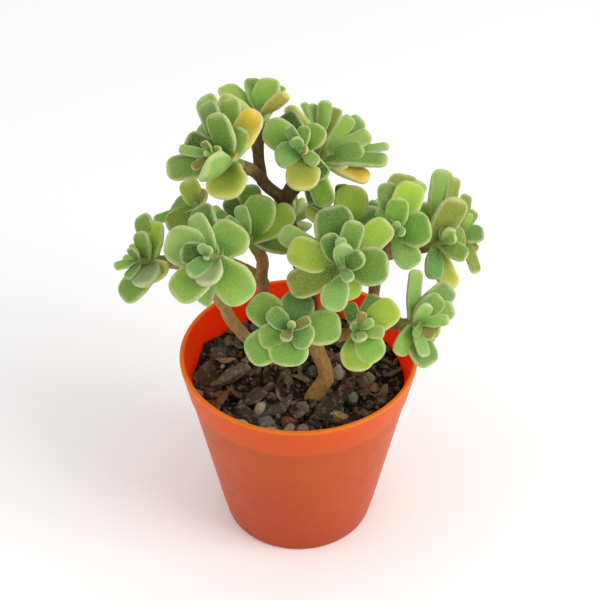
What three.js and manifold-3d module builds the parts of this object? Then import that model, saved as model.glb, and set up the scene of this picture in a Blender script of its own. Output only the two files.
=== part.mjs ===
// A small shrub of Aeonium lindleyi in a plastic nursery pot.
// Millimetres, +Z up. The origin is the centre of the pot's foot, and -Y is the front.
import * as THREE from "three";
import { mergeVertices } from "three/addons/utils/BufferGeometryUtils.js";
import Module from "manifold-3d";

const wasm = await Module();
wasm.setup();

// The pot: a tapered cup with a band under its rim and drain holes in its floor.
const POT = {
  height: 78,
  rimRadius: 45,
  footRadius: 29,
  wall: 1.3,
  bandHeight: 14,
  bandStep: 0.7,
  lipHeight: 1.6,
  lipWidth: 1.9,
  lipEdge: 0.6,
  footEdge: 1.2,
  floor: 2,
  sides: 36,
  drains: 4,
  drainRadius: 3,
  drainCircle: 16,
  drainSides: 8,
};

// The soil: its level below the rim, its waves and the chips on it.
// A wave has its run to +X, its run to +Y and its height.
const SOIL = {
  below: 12.5,
  waves: [[0.31, 0.22, 1.5], [-0.27, 0.41, 1], [0.55, -0.49, 0.75], [0.83, 0.71, 0.5]],
  rings: 4,
  sides: 20,
  chips: 16,
  chipSize: 4.2,
  chipLift: 0.3,
  chipMargin: 1.5,
  chipWidth: [0.5, 0.9], // as shares of its length
  chipHeight: [0.35, 0.6],
  footHeight: 3, // how high its bottom edge, which is cut off by footCut, reaches
  footCut: 1.8,
};

// A leaf grows from young to old. A leaf set by rule is share times as wide as long, and the wider a leaf is,
// the thicker and flatter it is and the lower on the core its root.
const YOUNG = { length: 5, share: 0.48, width: 2.5, thick: 2.2, curl: 0.1, root: 0.88 };
const OLD = { length: 15, share: 0.62, width: 8, thick: 3.9, curl: 0, root: 0.32 };
const TIP_ROUND = 0.55; // how much of a leaf's width its rounded tip takes along it
const NECK = { width: 0.4, reach: 0.55 }; // how narrow a leaf starts, and where it is widest
const ROOT_ROUND = 0.08; // how much of a leaf's length its rounded root takes
const BULGE = { above: 0.9, below: 1.3 }; // a leaf's two faces, in half thicknesses

// Leaves set by rule, lowest to topmost: the young ones in a rosette, or all of a hidden rosette.
const HEART_LEAVES = { lean: [28, 10], length: [9, 6] };
const HIDDEN_LEAVES = { lean: [82, 10], length: [17.5, 6] };

// Where the outer leaves, which lean more than outer, part by more than gap degrees, more grow between them,
// but only if they point to the eye by less than away.
const FILL = { outer: 45, gap: 80, away: 0.1, lean: 78, length: 15 };

const CORE = { foot: 2.3, top: 1.2, sides: 6 }; // radii of a rosette's core
const GAP = 0.3; // clearance that touching pieces keep
const SKIN = 0.3; // how far a fused surface may move where small facets are merged
const GOLDEN_ANGLE = 137.5;
const STEM_DEPTH = 20; // how far a stem stands in the soil
const STEM_RISE = 2; // how far it stays straight above the soil
const STEM_HOLE = 0.5; // how much wider its hole is
const SUNK = 0.8; // how far a branch starts inside another
const TAPER = { most: 1.15, start: 0.95 }; // how thick a branch starts, against its end and its fork
const BRANCH_STEP = 12; // about how long each straight piece of a branch is
const KNOT = 1.12; // a knot's radius as a share of its branch's
const CLEAR = 0.35; // how far apart leaves of different rosettes stay, and leaves and stems
const REACH = 56; // rosettes further apart than this can't touch

const EYE = [0, -427, 441]; // where the eye stands that the leaves are measured from

// A stem has its foot, where it leaves the soil, its radius there and how far it leans there to +X and +Y.
// A fork grows from another or from the stem's foot.
const STEMS = {
  front: { foot: [6, -12], radius: 3.1, lean: [0.25, 0] },
  left: { foot: [-11, 8], radius: 2.5, lean: [-0.5, -0.2] },
  back_left: { foot: [-13, 30], radius: 2.6, lean: [0, 0] },
  back: { foot: [6, 16], radius: 3.2, lean: [0, 0] },
  right: { foot: [22, 4], radius: 2.8, lean: [0.1, 0] },
};

const FORKS = {
  front_low: { stem: "front", from: null, at: [10, -13, 76], radius: 3 },
  front_mid: { stem: "front", from: "front_low", at: [6, -11, 92], radius: 2.8 },
  front_top: { stem: "front", from: "front_mid", at: [12, -6, 112], radius: 2.3 },
  left_low: { stem: "left", from: null, at: [-27, 1, 98], radius: 2.3 },
  left_top: { stem: "left", from: "left_low", at: [-30, -7, 112], radius: 2.1 },
  back_left_low: { stem: "back_left", from: null, at: [-14, 25, 92], radius: 2.4 },
  back_low: { stem: "back", from: null, at: [4, 18, 92], radius: 3.0 },
  back_mid: { stem: "back", from: "back_low", at: [-5, 14, 136], radius: 2.6 },
  back_fork_left: { stem: "back", from: "back_mid", at: [-13, 14, 146], radius: 2.1 },
  right_low: { stem: "right", from: null, at: [27, 2, 94], radius: 2.6 },
  right_top: { stem: "right", from: "right_low", at: [28, 4, 117], radius: 2.1 },
};

// Rosettes. heart is the top of the core, which faces [turn, rise]: turn 0 is to the front, 90 to the right.
// tips lists the leaves that show, each [right, up, tilt, width]: its tip is so far right of the heart and
// above it, as seen from the eye, and it tilts so many degrees towards the eye. inner is the number of leaves
// set by the golden angle from start: young ones, or all of them where tips is empty. show is how much the
// leaves twist to the eye.
const ROSETTES = {
  front_low: {
    from: "front_mid", heart: [-3, -32, 115], facing: [-4, 46], core: 8, inner: 0, start: 330,
    show: 0.5,
    tips: [[-13, 11, -5, 12.5], [4, 13, -10, 12], [18, 1, -5, 12.5], [-1, -13, 5, 13.5],
      [-15, -9, 0, 12.5], [8, -4, 15, 9.5], [-11, -3, 10, 9.5], [-7, 7, 15, 7], [-2, -4, 45, 4],
      [7, 4, 10, 3.5], [1, 3, 35, 3]],
  },
  front_right: {
    from: "front_mid", heart: [21, -28, 112], facing: [6, 50], core: 8, inner: 0, start: 60,
    show: 0.5,
    tips: [[13, 9, -5, 10.5], [9, -1, 5, 5], [7, -11, 5, 11], [-6, -14, 0, 12], [-3, -6, 30, 6.5],
      [-3, 3, 30, 6.5], [-4, 9, -20, 5.5], [6, 12, -15, 6.5], [1, 6, 10, 3.5], [2, -4, 45, 3.5],
      [-2, -1, 20, 4.5], [5, 3, 20, 3.5]],
  },
  right_low: {
    from: "right_low", heart: [44, -20, 108], facing: [58, 26], core: 10, inner: 0, start: 20,
    show: 0.9,
    tips: [[-3, 19, 0, 5.5], [9, 14, -10, 9], [5, 10, 0, 8], [11, 7, -10, 7.5], [9, 2, 10, 4.5],
      [1, 7, 25, 5.5], [7, -3, 5, 6.5], [4, -5, 5, 5.5], [-4, -5, 20, 3], [4, -15, 0, 10.5],
      [1, -12, 15, 5], [-9, -12, 10, 6.5]],
  },
  centre: {
    from: "front_top", heart: [15, -24, 136], facing: [2, 40], core: 10, inner: 0, start: 250,
    show: 0.6,
    tips: [[-5, 21, -5, 14], [4, 16, 8, 7.5], [15, 16, -8, 10.5], [16, 1, 10, 13], [-19, 6, 0, 11.5],
      [-22, 12, -16, 7.5], [-6, 11, 15, 7], [0, 8, 35, 7], [7, 4, 35, 6.5], [-4, -15, 10, 10],
      [4, -11, -15, 9], [-18, -8, -14, 11], [3, -5, 40, 4.5], [-1, 10, -5, 4]],
  },
  centre_back: {
    from: "front_top", heart: [18, 0, 137], facing: [6, 76], core: 9, inner: 0, start: 10,
    show: 0.8,
    tips: [[1, 14, 0, 12], [-15, 6, -5, 8.5], [-14, 8, -15, 4.5], [10, 4, -10, 4.5],
      [-3, 14, -25, 5.5]],
  },
  left_front: {
    from: "left_top", heart: [-31, -27, 143], facing: [-42, 36], core: 10, inner: 0, start: 0,
    show: 0.6,
    tips: [[-14, 6, -5, 14], [-4, 14, -8, 7], [-1, 17, -25, 9], [11, 10, 10, 14.5], [-11, -14, 5, 13],
      [14, -16, 2, 15], [-1, -17, -35, 6], [-1, -10, 40, 9], [-6, -6, 25, 6.5], [-9, 2, 10, 8],
      [-2, 4, 15, 3.5], [2, 3, 30, 3.5], [-1, -1, 45, 2], [7, 12, -15, 13]],
  },
  left_back: {
    from: "back_left_low", heart: [-19, 0, 133], facing: [-40, 60], core: 11, inner: 0, start: 0,
    show: 0.9,
    tips: [[1, 18, -5, 9], [7, 13, 14, 12.5], [18, 8, 2, 9.5], [-6, 13, -15, 7], [-2, 10, 15, 5],
      [-11, 7, 0, 5.5], [-12, 9, -25, 4], [-7, 6, 30, 3.5], [14, -8, -35, 6.5]],
  },
  far_left: {
    from: "left_low", heart: [-57, -14, 131], facing: [-70, 16], core: 11, inner: 0, start: 0,
    show: 1,
    tips: [[3, 16, -15, 8], [9, 13, -5, 6.5], [3, 10, 10, 6], [-1, 6, -10, 2.5], [2, -9, 35, 12],
      [10, -7, 14, 10.5], [-6, -13, -10, 10.5], [-4, 1, -5, 3.5], [-6, -2, 0, 3.5], [-4, -6, 5, 3.5],
      [-1, 5, 20, 3.5]],
  },
  left_behind: {
    from: "left_low", heart: [-38, 12, 138], facing: [-95, 58], core: 8, inner: 0, start: 50,
    show: 1,
    tips: [[-10, -8, 8, 11], [-2, 8, -20, 7.5], [4, 4, -25, 5.5], [-14, -6, -20, 4]],
  },
  top_left: {
    from: "back_fork_left", heart: [-30, -3, 168], facing: [-64, 36], core: 14, inner: 0, start: 0,
    show: 0.8,
    tips: [[2, 14, 20, 9.5], [-1, 20, -25, 9], [0, 17, -8, 7.5], [7, 19, -10, 8], [12, 8, 16, 8.5],
      [18, 13, 10, 10.5], [-4, 10, -35, 5.5], [-8, 5, -5, 9], [-9, 1, -30, 3.5], [-5, 7, -40, 4],
      [-15, -5, -5, 9], [-1, -6, 60, 11], [3, -15, 30, 16], [-6, -5, 10, 3.5], [-1, 4, 10, 3],
      [2, 3, 15, 3.5], [-2, 0, 30, 2.5]],
  },
  top_back: {
    from: "back_fork_left", heart: [-13, 27, 170], facing: [170, 50], core: 10, inner: 0, start: 30,
    show: 1,
    tips: [[-15, 2, -12, 9], [-14, 6, -28, 9], [-4, 8, -35, 6.5], [4, 9, -12, 12], [9, 2, 30, 5.5],
      [8, 4, -30, 3.5]],
  },
  top_front: {
    from: "back_mid", heart: [0, 6, 164], facing: [-22, 40], core: 10, inner: 0, start: 0,
    show: 0.7,
    tips: [[-4, 8, 8, 4], [2, 8, 0, 5], [-1, 4, 35, 5], [3, 0, 35, 3.5], [7, -5, 15, 4.5],
      [-8, -3, 5, 9.5], [-12, 8, -5, 11], [-6, 13, -25, 8.5], [8, 8, 8, 8.5], [1, -14, 35, 12],
      [11, -19, -15, 8], [10, -10, 12, 6], [4, -18, -30, 5]],
  },
  top_right: {
    from: "back_mid", heart: [11, 15, 158], facing: [100, 50], core: 9, inner: 0, start: 0,
    show: 0.7,
    tips: [[8, 1, 14, 13.5], [12, 0, 6, 10], [20, -4, 10, 6.5], [21, 1, -20, 3.5], [16, 0, -30, 5.5],
      [7, 11, -25, 5.5], [12, 11, -22, 7], [14, 6, -10, 6.5], [12, -13, 15, 7]],
  },
  top_right_back: {
    from: "back_mid", heart: [8, 38, 152], facing: [175, 58], core: 9, inner: 0, start: 130,
    show: 1,
    tips: [[-12, 9, 10, 6.5], [-4, 9, -5, 6], [2, 10, 8, 5.5], [6, 9, -25, 6.5], [-7, 9, -30, 3]],
  },
  right_front: {
    from: "right_top", heart: [34, -8, 140], facing: [10, 50], core: 9, inner: 0, start: 0,
    show: 0.8,
    tips: [[-5, 16, -16, 7], [5, 17, -8, 10.5], [0, 11, 15, 8], [12, 2, 5, 12.5], [3, -1, 20, 3.5],
      [-7, 7, -4, 3.5], [2, 20, -30, 11], [6, -13, -15, 9.5], [8, 17, -36, 6], [0, 3, 25, 3]],
  },
  right_side: {
    from: "right_top", heart: [54, 3, 128], facing: [60, 36], core: 11, inner: 0, start: 0,
    show: 1,
    tips: [[2, 15, 25, 11], [-5, 25, -10, 9], [-1, 22, -22, 5], [-9, 13, 0, 9], [-2, 7, 10, 5],
      [0, 4, 30, 5], [3, 1, 30, 4], [-5, -15, 2, 7.5], [6, -6, 5, 7], [3, -18, -12, 8.5]],
  },
  far_right: {
    from: "right_top", heart: [63, 25, 117], facing: [85, 34], core: 9, inner: 0, start: 0,
    show: 1,
    tips: [[7, -1, -3, 7.5], [2, 7, -10, 5], [-3, 12, -25, 5], [1, 6, 5, 3.5], [2, -7, -10, 8],
      [4, -17, -5, 5], [4, -8, -25, 3.5]],
  },
  back_left_low: {
    from: "back_left_low", heart: [-40, 40, 108], facing: [-145, 34], core: 9, inner: 10, start: 0,
    show: 0,
    tips: [],
  },
  back_middle: {
    from: "back_low", heart: [-4, 52, 108], facing: [180, 38], core: 9, inner: 10, start: 70,
    show: 0,
    tips: [],
  },
  back_right: {
    from: "back_low", heart: [30, 44, 110], facing: [150, 36], core: 9, inner: 10, start: 140,
    show: 0,
    tips: [],
  },
};

const COLOURS = {
  pot: 0xc8552b,
  soil: 0x4a3a2c,
  stem: 0x7a6040,
  leaf: 0x7fa650,
};

const radians = THREE.MathUtils.degToRad;
const up = new THREE.Vector3(0, 0, 1);
const vector = (p) => new THREE.Vector3(...p);
const mix = (a, b, t) => a + (b - a) * t;
const smooth = (low, high, x) => {
  const t = Math.min(Math.max((x - low) / (high - low), 0), 1);
  return t * t * (3 - 2 * t);
};

// A repeatable draw from 0 to 1, from a number held in state.
const makeDraw = (seed) => {
  let state = seed;
  return () => {
    state = (state * 1664525 + 1013904223) % 4294967296;
    return state / 4294967296;
  };
};

// A three.js geometry, closed and possibly with seams, as a solid.
function solid(geometry) {
  const g = geometry.index ? geometry.toNonIndexed() : geometry.clone();
  g.deleteAttribute("normal");
  g.deleteAttribute("uv");
  const merged = mergeVertices(g, 1e-4);
  return new wasm.Manifold(
    new wasm.Mesh({
      numProp: 3,
      vertProperties: merged.attributes.position.array,
      triVerts: new Uint32Array(merged.index.array),
    }),
  );
}

// A solid as a three.js mesh.
function mesh(name, body, colour, roughness) {
  const { numProp, numVert, vertProperties, triVerts } = body.getMesh();
  const points = new Float32Array(numVert * 3);
  for (let i = 0; i < numVert; i++) points.set(vertProperties.subarray(i * numProp, i * numProp + 3), i * 3);
  const geometry = new THREE.BufferGeometry();
  geometry.setAttribute("position", new THREE.BufferAttribute(points, 3));
  geometry.setIndex(new THREE.BufferAttribute(triVerts, 1));
  geometry.computeVertexNormals();
  const made = new THREE.Mesh(
    geometry,
    new THREE.MeshStandardMaterial({ color: colour, roughness, metalness: 0, flatShading: true }),
  );
  made.name = name;
  return made;
}

// Moves each vertex of a geometry by a rule.
function shape(geometry, rule) {
  const place = geometry.attributes.position;
  const p = new THREE.Vector3();
  for (let i = 0; i < place.count; i++) {
    p.fromBufferAttribute(place, i);
    rule(p);
    place.setXYZ(i, p.x, p.y, p.z);
  }
  return geometry;
}

// The pot's outside radius at a height, without its band.
const potRadius = (z) => mix(POT.footRadius, POT.rimRadius - POT.bandStep, z / POT.height);

// Pot
function makePot() {
  const { height, rimRadius, wall, bandHeight, bandStep, footEdge, floor } = POT;
  const { lipHeight, lipWidth, lipEdge } = POT;
  const bandFoot = height - bandHeight;
  const inside = (z) => potRadius(z) - wall;
  const profile = [
    [0, 0],
    [POT.footRadius - footEdge, 0],
    [potRadius(footEdge), footEdge],
    [potRadius(bandFoot), bandFoot],
    [potRadius(bandFoot) + bandStep, bandFoot + bandStep],
    [rimRadius, height - lipEdge],
    [rimRadius - lipEdge, height],
    [rimRadius - lipWidth + lipEdge, height],
    [rimRadius - lipWidth, height - lipEdge],
    [inside(height - lipHeight), height - lipHeight],
    [inside(floor + footEdge), floor + footEdge],
    [inside(floor) - footEdge, floor],
    [0, floor],
  ];
  const cup = new THREE.LatheGeometry(profile.map(([r, z]) => new THREE.Vector2(r, z)), POT.sides);
  let body = solid(cup.rotateX(Math.PI / 2));
  for (let i = 0; i < POT.drains; i++) {
    const turn = (i * 2 * Math.PI) / POT.drains;
    const drill = new THREE.CylinderGeometry(POT.drainRadius, POT.drainRadius, 4 * floor, POT.drainSides)
      .rotateX(Math.PI / 2)
      .translate(POT.drainCircle * Math.cos(turn), POT.drainCircle * Math.sin(turn), floor / 2);
    body = body.subtract(solid(drill));
  }
  return body;
}

// Leaf
// Half the width of a leaf along its length, from 0 at the root to 1 at the tip, as a share of its widest.
function leafOutline(leaf, a) {
  const neck = mix(NECK.width, 1, smooth(0, NECK.reach, a));
  const end = Math.min((TIP_ROUND * leaf.width) / leaf.length, 0.5);
  const tip = a > 1 - end ? Math.pow(1 - Math.pow((a - 1 + end) / end, 2.6), 1 / 2.5) : 1;
  const root = a < ROOT_ROUND ? Math.sqrt(1 - Math.pow(1 - a / ROOT_ROUND, 2)) : 1;
  return neck * tip * root;
}

// The way a leaf points, and the way out from the core to it.
function leafLine({ frame }, { turn, lean }) {
  const [t, l] = [radians(turn), radians(lean)];
  const out = frame.across.clone().multiplyScalar(Math.cos(t)).addScaledVector(frame.upward, Math.sin(t));
  const along = frame.line.clone().multiplyScalar(Math.cos(l)).addScaledVector(out, Math.sin(l));
  return { out, along };
}

// Where a leaf stands: its root, the way it points, the way its face looks and its side.
// It twists to show the eye its face, or its back if that is nearer, by the rosette's show.
function leafFrame(rosette, leaf) {
  const { line, sight } = rosette.frame;
  const { out, along } = leafLine(rosette, leaf);
  const lean = radians(leaf.lean);
  const face = line.clone().multiplyScalar(Math.sin(lean)).addScaledVector(out, -Math.cos(lean));
  const shown = sight.clone().addScaledVector(along, -along.dot(sight));
  face.addScaledVector(shown, face.dot(shown) < 0 ? -rosette.show : rosette.show).normalize();
  const side = new THREE.Vector3().crossVectors(along, face);
  return { root: leafRoot(rosette, leaf), along, face, side };
}

const leafAge = ({ width }) => smooth(YOUNG.width, OLD.width, width);

// A leaf grows from the middle of the core, the older the lower.
function leafRoot(rosette, leaf) {
  const share = mix(YOUNG.root, OLD.root, leafAge(leaf)) + 0.08 * (leaf.step ?? 0);
  return rosette.base.clone().addScaledVector(rosette.frame.line, rosette.core * share);
}

// A point of a leaf: a along it, x across it from -1 to 1, and y through it from -1 to 1.
function leafPoint(leaf, frame, a, x, y) {
  const outline = leafOutline(leaf, a);
  const thick = (leaf.thick / 2) * mix(0.75, 1, smooth(0, 0.3, a)) * mix(1, 0.7, smooth(0.5, 1, a));
  const lift = leaf.length * leaf.curl * a * a + leaf.width * leaf.cup * x * x * outline;
  return frame.root
    .clone()
    .addScaledVector(frame.along, leaf.length * a)
    .addScaledVector(frame.side, (leaf.width / 2) * outline * x)
    .addScaledVector(frame.face, lift + thick * y);
}

// Where a leaf's rows of corners lie along it, from root to tip.
const LEAF_ROWS = {
  old: [0, 0.12, 0.42, 0.7, 0.92, 1],
  young: [0, 0.14, 0.52, 0.86, 1],
};

function makeLeaf(rosette, leaf) {
  const frame = leafFrame(rosette, leaf);
  const rows = leaf.length > OLD.length + 1 ? LEAF_ROWS.old : LEAF_ROWS.young;
  const last = rows.length - 1;
  const ball = shape(new THREE.SphereGeometry(1, 6, last), (p) => {
    const row = Math.round(last * (1 - Math.acos(Math.min(Math.max(p.y, -1), 1)) / Math.PI));
    const a = rows[row];
    const ring = Math.sqrt(1 - Math.pow(Math.cos((Math.PI * row) / last), 2));
    const pole = row === 0 || row === last;
    const across = pole ? 0 : p.x / ring;
    const through = pole ? 0 : p.z / ring;
    p.copy(leafPoint(leaf, frame, a, across, through * (through > 0 ? BULGE.above : BULGE.below)));
  });
  return solid(ball);
}

// Rosette
// The core's line, the two directions across it and the one to the eye, and its base.
function setFrame(rosette) {
  const [turn, rise] = rosette.facing.map(radians);
  const level = Math.cos(rise);
  const line = new THREE.Vector3(Math.sin(turn) * level, -Math.cos(turn) * level, Math.sin(rise));
  const across = new THREE.Vector3(1, 0, 0).addScaledVector(line, -line.x).normalize();
  const upward = new THREE.Vector3().crossVectors(line, across);
  const sight = vector(EYE).sub(vector(rosette.heart)).normalize();
  rosette.frame = { line, across, upward, sight };
  rosette.base = vector(rosette.heart).addScaledVector(line, -rosette.core);
}

// The turn, lean, length and width of a leaf whose tip shows at a place beside the heart.
function aimLeaf(rosette, [right, above, tilt, width]) {
  const { line, across, upward, sight } = rosette.frame;
  const rightward = new THREE.Vector3().crossVectors(up, sight).normalize();
  const skyward = new THREE.Vector3().crossVectors(sight, rightward);
  const tip = vector(rosette.heart).addScaledVector(rightward, right).addScaledVector(skyward, above);
  const aim = tip.sub(leafRoot(rosette, { width }));
  aim.addScaledVector(sight, -aim.dot(sight));
  aim.addScaledVector(sight, aim.length() * Math.tan(radians(tilt)));
  const length = aim.length();
  aim.normalize();
  return {
    turn: THREE.MathUtils.radToDeg(Math.atan2(aim.dot(upward), aim.dot(across))),
    lean: THREE.MathUtils.radToDeg(Math.acos(aim.dot(line))),
    length,
    width,
  };
}

// One or more leaves for each wide gap between the outer leaves, unless they would lean to the eye.
function fillGaps(rosette, leaves) {
  const turns = leaves
    .filter((leaf) => leaf.lean > FILL.outer)
    .map((leaf) => (leaf.turn + 360) % 360)
    .sort((a, b) => a - b);
  const filled = [];
  turns.forEach((turn, i) => {
    const width = (i + 1 < turns.length ? turns[i + 1] : turns[0] + 360) - turn;
    const parts = Math.ceil(width / FILL.gap);
    for (let k = 1; k < parts; k++) {
      const leaf = { turn: turn + (width * k) / parts, lean: FILL.lean, length: FILL.length };
      if (leafLine(rosette, leaf).along.dot(rosette.frame.sight) < FILL.away) filled.push(leaf);
    }
  });
  return filled;
}

// The leaves of a rosette: those that show, more in the wide gaps of its hidden side, and the young ones.
function listLeaves(rosette, draw) {
  const leaves = rosette.tips.map((tip) => aimLeaf(rosette, tip));
  const hidden = leaves.length === 0;
  leaves.push(...fillGaps(rosette, leaves));
  const { lean, length } = hidden ? HIDDEN_LEAVES : HEART_LEAVES;
  for (let i = 0; i < rosette.inner; i++) {
    const t = i / Math.max(rosette.inner - 1, 1);
    leaves.push({ turn: rosette.start + i * GOLDEN_ANGLE, lean: mix(...lean, t), length: mix(...length, t) });
  }
  leaves.forEach((leaf, i) => {
    leaf.step = (i % 3) - 1;
    const share = mix(YOUNG.share, OLD.share, smooth(YOUNG.length, OLD.length, leaf.length));
    leaf.width ??= leaf.length * share;
    leaf.width *= mix(0.96, 1.06, draw());
    const age = leafAge(leaf);
    leaf.thick = mix(YOUNG.thick, OLD.thick, age);
    leaf.curl = mix(YOUNG.curl, OLD.curl, age) + mix(-0.03, 0.03, draw());
    leaf.cup = mix(0.05, 0.1, draw());
  });
  return leaves;
}

// Balls that stand for a leaf when its neighbours are kept clear of it, and where they lie on it.
const BALLS_ALONG = [0.2, 0.36, 0.52, 0.68, 0.84, 0.96];
const BALLS_ACROSS = [-0.86, -0.43, 0, 0.43, 0.86];

function leafBalls(rosette, leaf) {
  const frame = leafFrame(rosette, leaf);
  return BALLS_ALONG.flatMap((a) =>
    BALLS_ACROSS.map((x) => ({ at: leafPoint(leaf, frame, a, x, 0), radius: leaf.thick / 2 })),
  );
}

// Balls along a branch.
function branchBalls({ curve, radii }) {
  const steps = Math.ceil(curve.getLength() / 2);
  return Array.from({ length: steps }, (_, i) => ({
    at: curve.getPoint(i / steps),
    radius: mix(radii[0], radii[1], i / steps),
  }));
}

// How a leaf may be bent, round the core and out from it, the least first.
const BENDS = [
  [0, 0], [0, -7], [0, 7], [9, 0], [-9, 0], [9, -7], [-9, -7], [0, -14], [0, 14], [16, -7], [-16, -7],
  [16, 7], [-16, 7], [0, -22], [0, 22], [24, -14], [-24, -14], [24, 8], [-24, 8],
];

const isClear = (balls, others) =>
  others.every((group) =>
    group.every((o) => balls.every((b) => b.at.distanceTo(o.at) > b.radius + o.radius + CLEAR)),
  );

// A leaf bent or shrunk until it is clear of the others, or null.
function settleLeaf(rosette, leaf, others) {
  for (const shrink of [1, 0.9, 0.8]) {
    for (const [side, more] of BENDS) {
      const bent = {
        ...leaf,
        turn: leaf.turn + side,
        lean: leaf.lean + more,
        length: leaf.length * shrink,
        width: leaf.width * shrink,
      };
      if (isClear(leafBalls(rosette, bent), others)) return bent;
    }
  }
  return null;
}

// Bends each leaf that meets another rosette or a stem clear of it, and drops the few that can't be.
function settleLeaves(rosettes, stemBalls) {
  const placed = [];
  for (const rosette of rosettes) {
    const near = placed.filter(({ base }) => base.distanceTo(rosette.base) < REACH).map(({ balls }) => balls);
    const others = [...near, ...stemBalls];
    rosette.leaves = rosette.leaves.map((leaf) => settleLeaf(rosette, leaf, others)).filter((leaf) => leaf);
    const own = rosette.leaves.map((leaf) => ({ base: rosette.base, balls: leafBalls(rosette, leaf) }));
    const coreBalls = [0.2, 0.4, 0.6, 0.8].map((t) => ({
      at: rosette.base.clone().addScaledVector(rosette.frame.line, rosette.core * t),
      radius: CORE.foot,
    }));
    placed.push(...own, { base: rosette.base, balls: coreBalls });
  }
}

// A core with its leaves.
function makeRosette(rosette) {
  const length = rosette.core - GAP;
  const core = new THREE.CylinderGeometry(CORE.top, CORE.foot, length, CORE.sides);
  core.translate(0, length / 2 + GAP, 0);
  const { line, across, upward } = rosette.frame;
  const basis = new THREE.Matrix4().makeBasis(across, line, upward.clone().negate());
  core.applyMatrix4(basis).translate(rosette.base.x, rosette.base.y, rosette.base.z);
  const leaves = rosette.leaves.map((leaf) => makeLeaf(rosette, leaf));
  return largest(wasm.Manifold.union([solid(core), ...leaves]).asOriginal().simplify(SKIN));
}

// The biggest of the bodies that a solid falls into.
function largest(body) {
  return body.decompose().reduce((a, b) => (b.volume() > a.volume() ? b : a));
}

// Stem
// A branch is a smooth curve with a radius at each end. It starts a little inside what it grows from.
function branch(start, to, toLine, radius) {
  const from = start.at.clone().addScaledVector(start.line, -SUNK);
  const reach = from.distanceTo(to) / 3;
  const curve = new THREE.CubicBezierCurve3(
    from,
    from.clone().addScaledVector(start.line, reach),
    to.clone().addScaledVector(toLine, -reach),
    to,
  );
  return { curve, radii: [TAPER.start * Math.min(start.radius, TAPER.most * radius), radius] };
}

const soilLevel = POT.height - SOIL.below;

// The branches of every stem: up through the soil, from fork to fork, and out to each rosette.
function listBranches(rosettes) {
  const branches = {};
  const tops = {};
  const forks = {};
  for (const [name, { foot, radius, lean }] of Object.entries(STEMS)) {
    const line = vector([...lean, 1]).normalize();
    const top = vector([...foot, soilLevel]).addScaledVector(line, STEM_RISE);
    const bottom = top.clone().addScaledVector(line, -STEM_DEPTH - STEM_RISE);
    branches[name] = [{ curve: new THREE.LineCurve3(bottom, top), radii: [radius * 0.9, radius] }];
    tops[name] = { at: top, line, radius };
  }
  for (const [name, { stem, from, at, radius }] of Object.entries(FORKS)) {
    const start = from ? forks[from] : tops[stem];
    const place = vector(at);
    const line = place.clone().sub(start.at).normalize().add(up).normalize();
    branches[stem].push(branch(start, place, line, radius));
    forks[name] = { stem, at: place, line, radius };
  }
  for (const { from, base, frame } of rosettes) {
    const fork = forks[from];
    const line = base.clone().sub(fork.at).normalize().lerp(fork.line, 0.5).normalize();
    branches[fork.stem].push(branch({ ...fork, line }, base, frame.line, CORE.foot));
  }
  return branches;
}

const THICK_BRANCH = 2.6; // branches thicker than this have seven sides, and others six

// One branch as a solid, its skin and foot swollen by spare.
function makeBranch({ curve, radii }, spare = 0) {
  const sides = radii[0] > THICK_BRANCH ? 7 : 6;
  const steps = curve.isLineCurve3 ? 1 : Math.max(2, Math.round(curve.getLength() / BRANCH_STEP));
  const tube = shape(new THREE.CylinderGeometry(1, 1, 1, sides, steps), (p) => {
    const t = 0.5 - p.y;
    const at = curve.getPoint(t);
    const line = curve.getTangent(t);
    const across = new THREE.Vector3(1, 0, 0).addScaledVector(line, -line.x).normalize();
    const other = new THREE.Vector3().crossVectors(line, across);
    const radius = mix(radii[0], radii[1], t) + spare;
    if (curve.isLineCurve3 && t < 0.5) at.z -= spare;
    p.copy(at.addScaledVector(across, p.x * radius).addScaledVector(other, p.z * radius));
  });
  return solid(tube);
}

// A stem's branches, with a knot where each leaves another.
function makeStem(branches, spare = 0) {
  const tubes = branches.map((each) => makeBranch(each, spare));
  const knots = branches.slice(1).map(({ curve, radii }) => {
    const knot = new THREE.IcosahedronGeometry(radii[0] * KNOT + spare, 0);
    const at = curve.getPoint(0);
    return solid(knot.translate(at.x, at.y, at.z));
  });
  return largest(wasm.Manifold.union([...tubes, ...knots]).asOriginal().simplify(SKIN));
}

// Soil
// The height of its top at a place.
const soilHeight = (x, y) =>
  SOIL.waves.reduce((z, [i, j, size]) => z + size * Math.sin(i * x + j * y + 9 * i), soilLevel);

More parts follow.
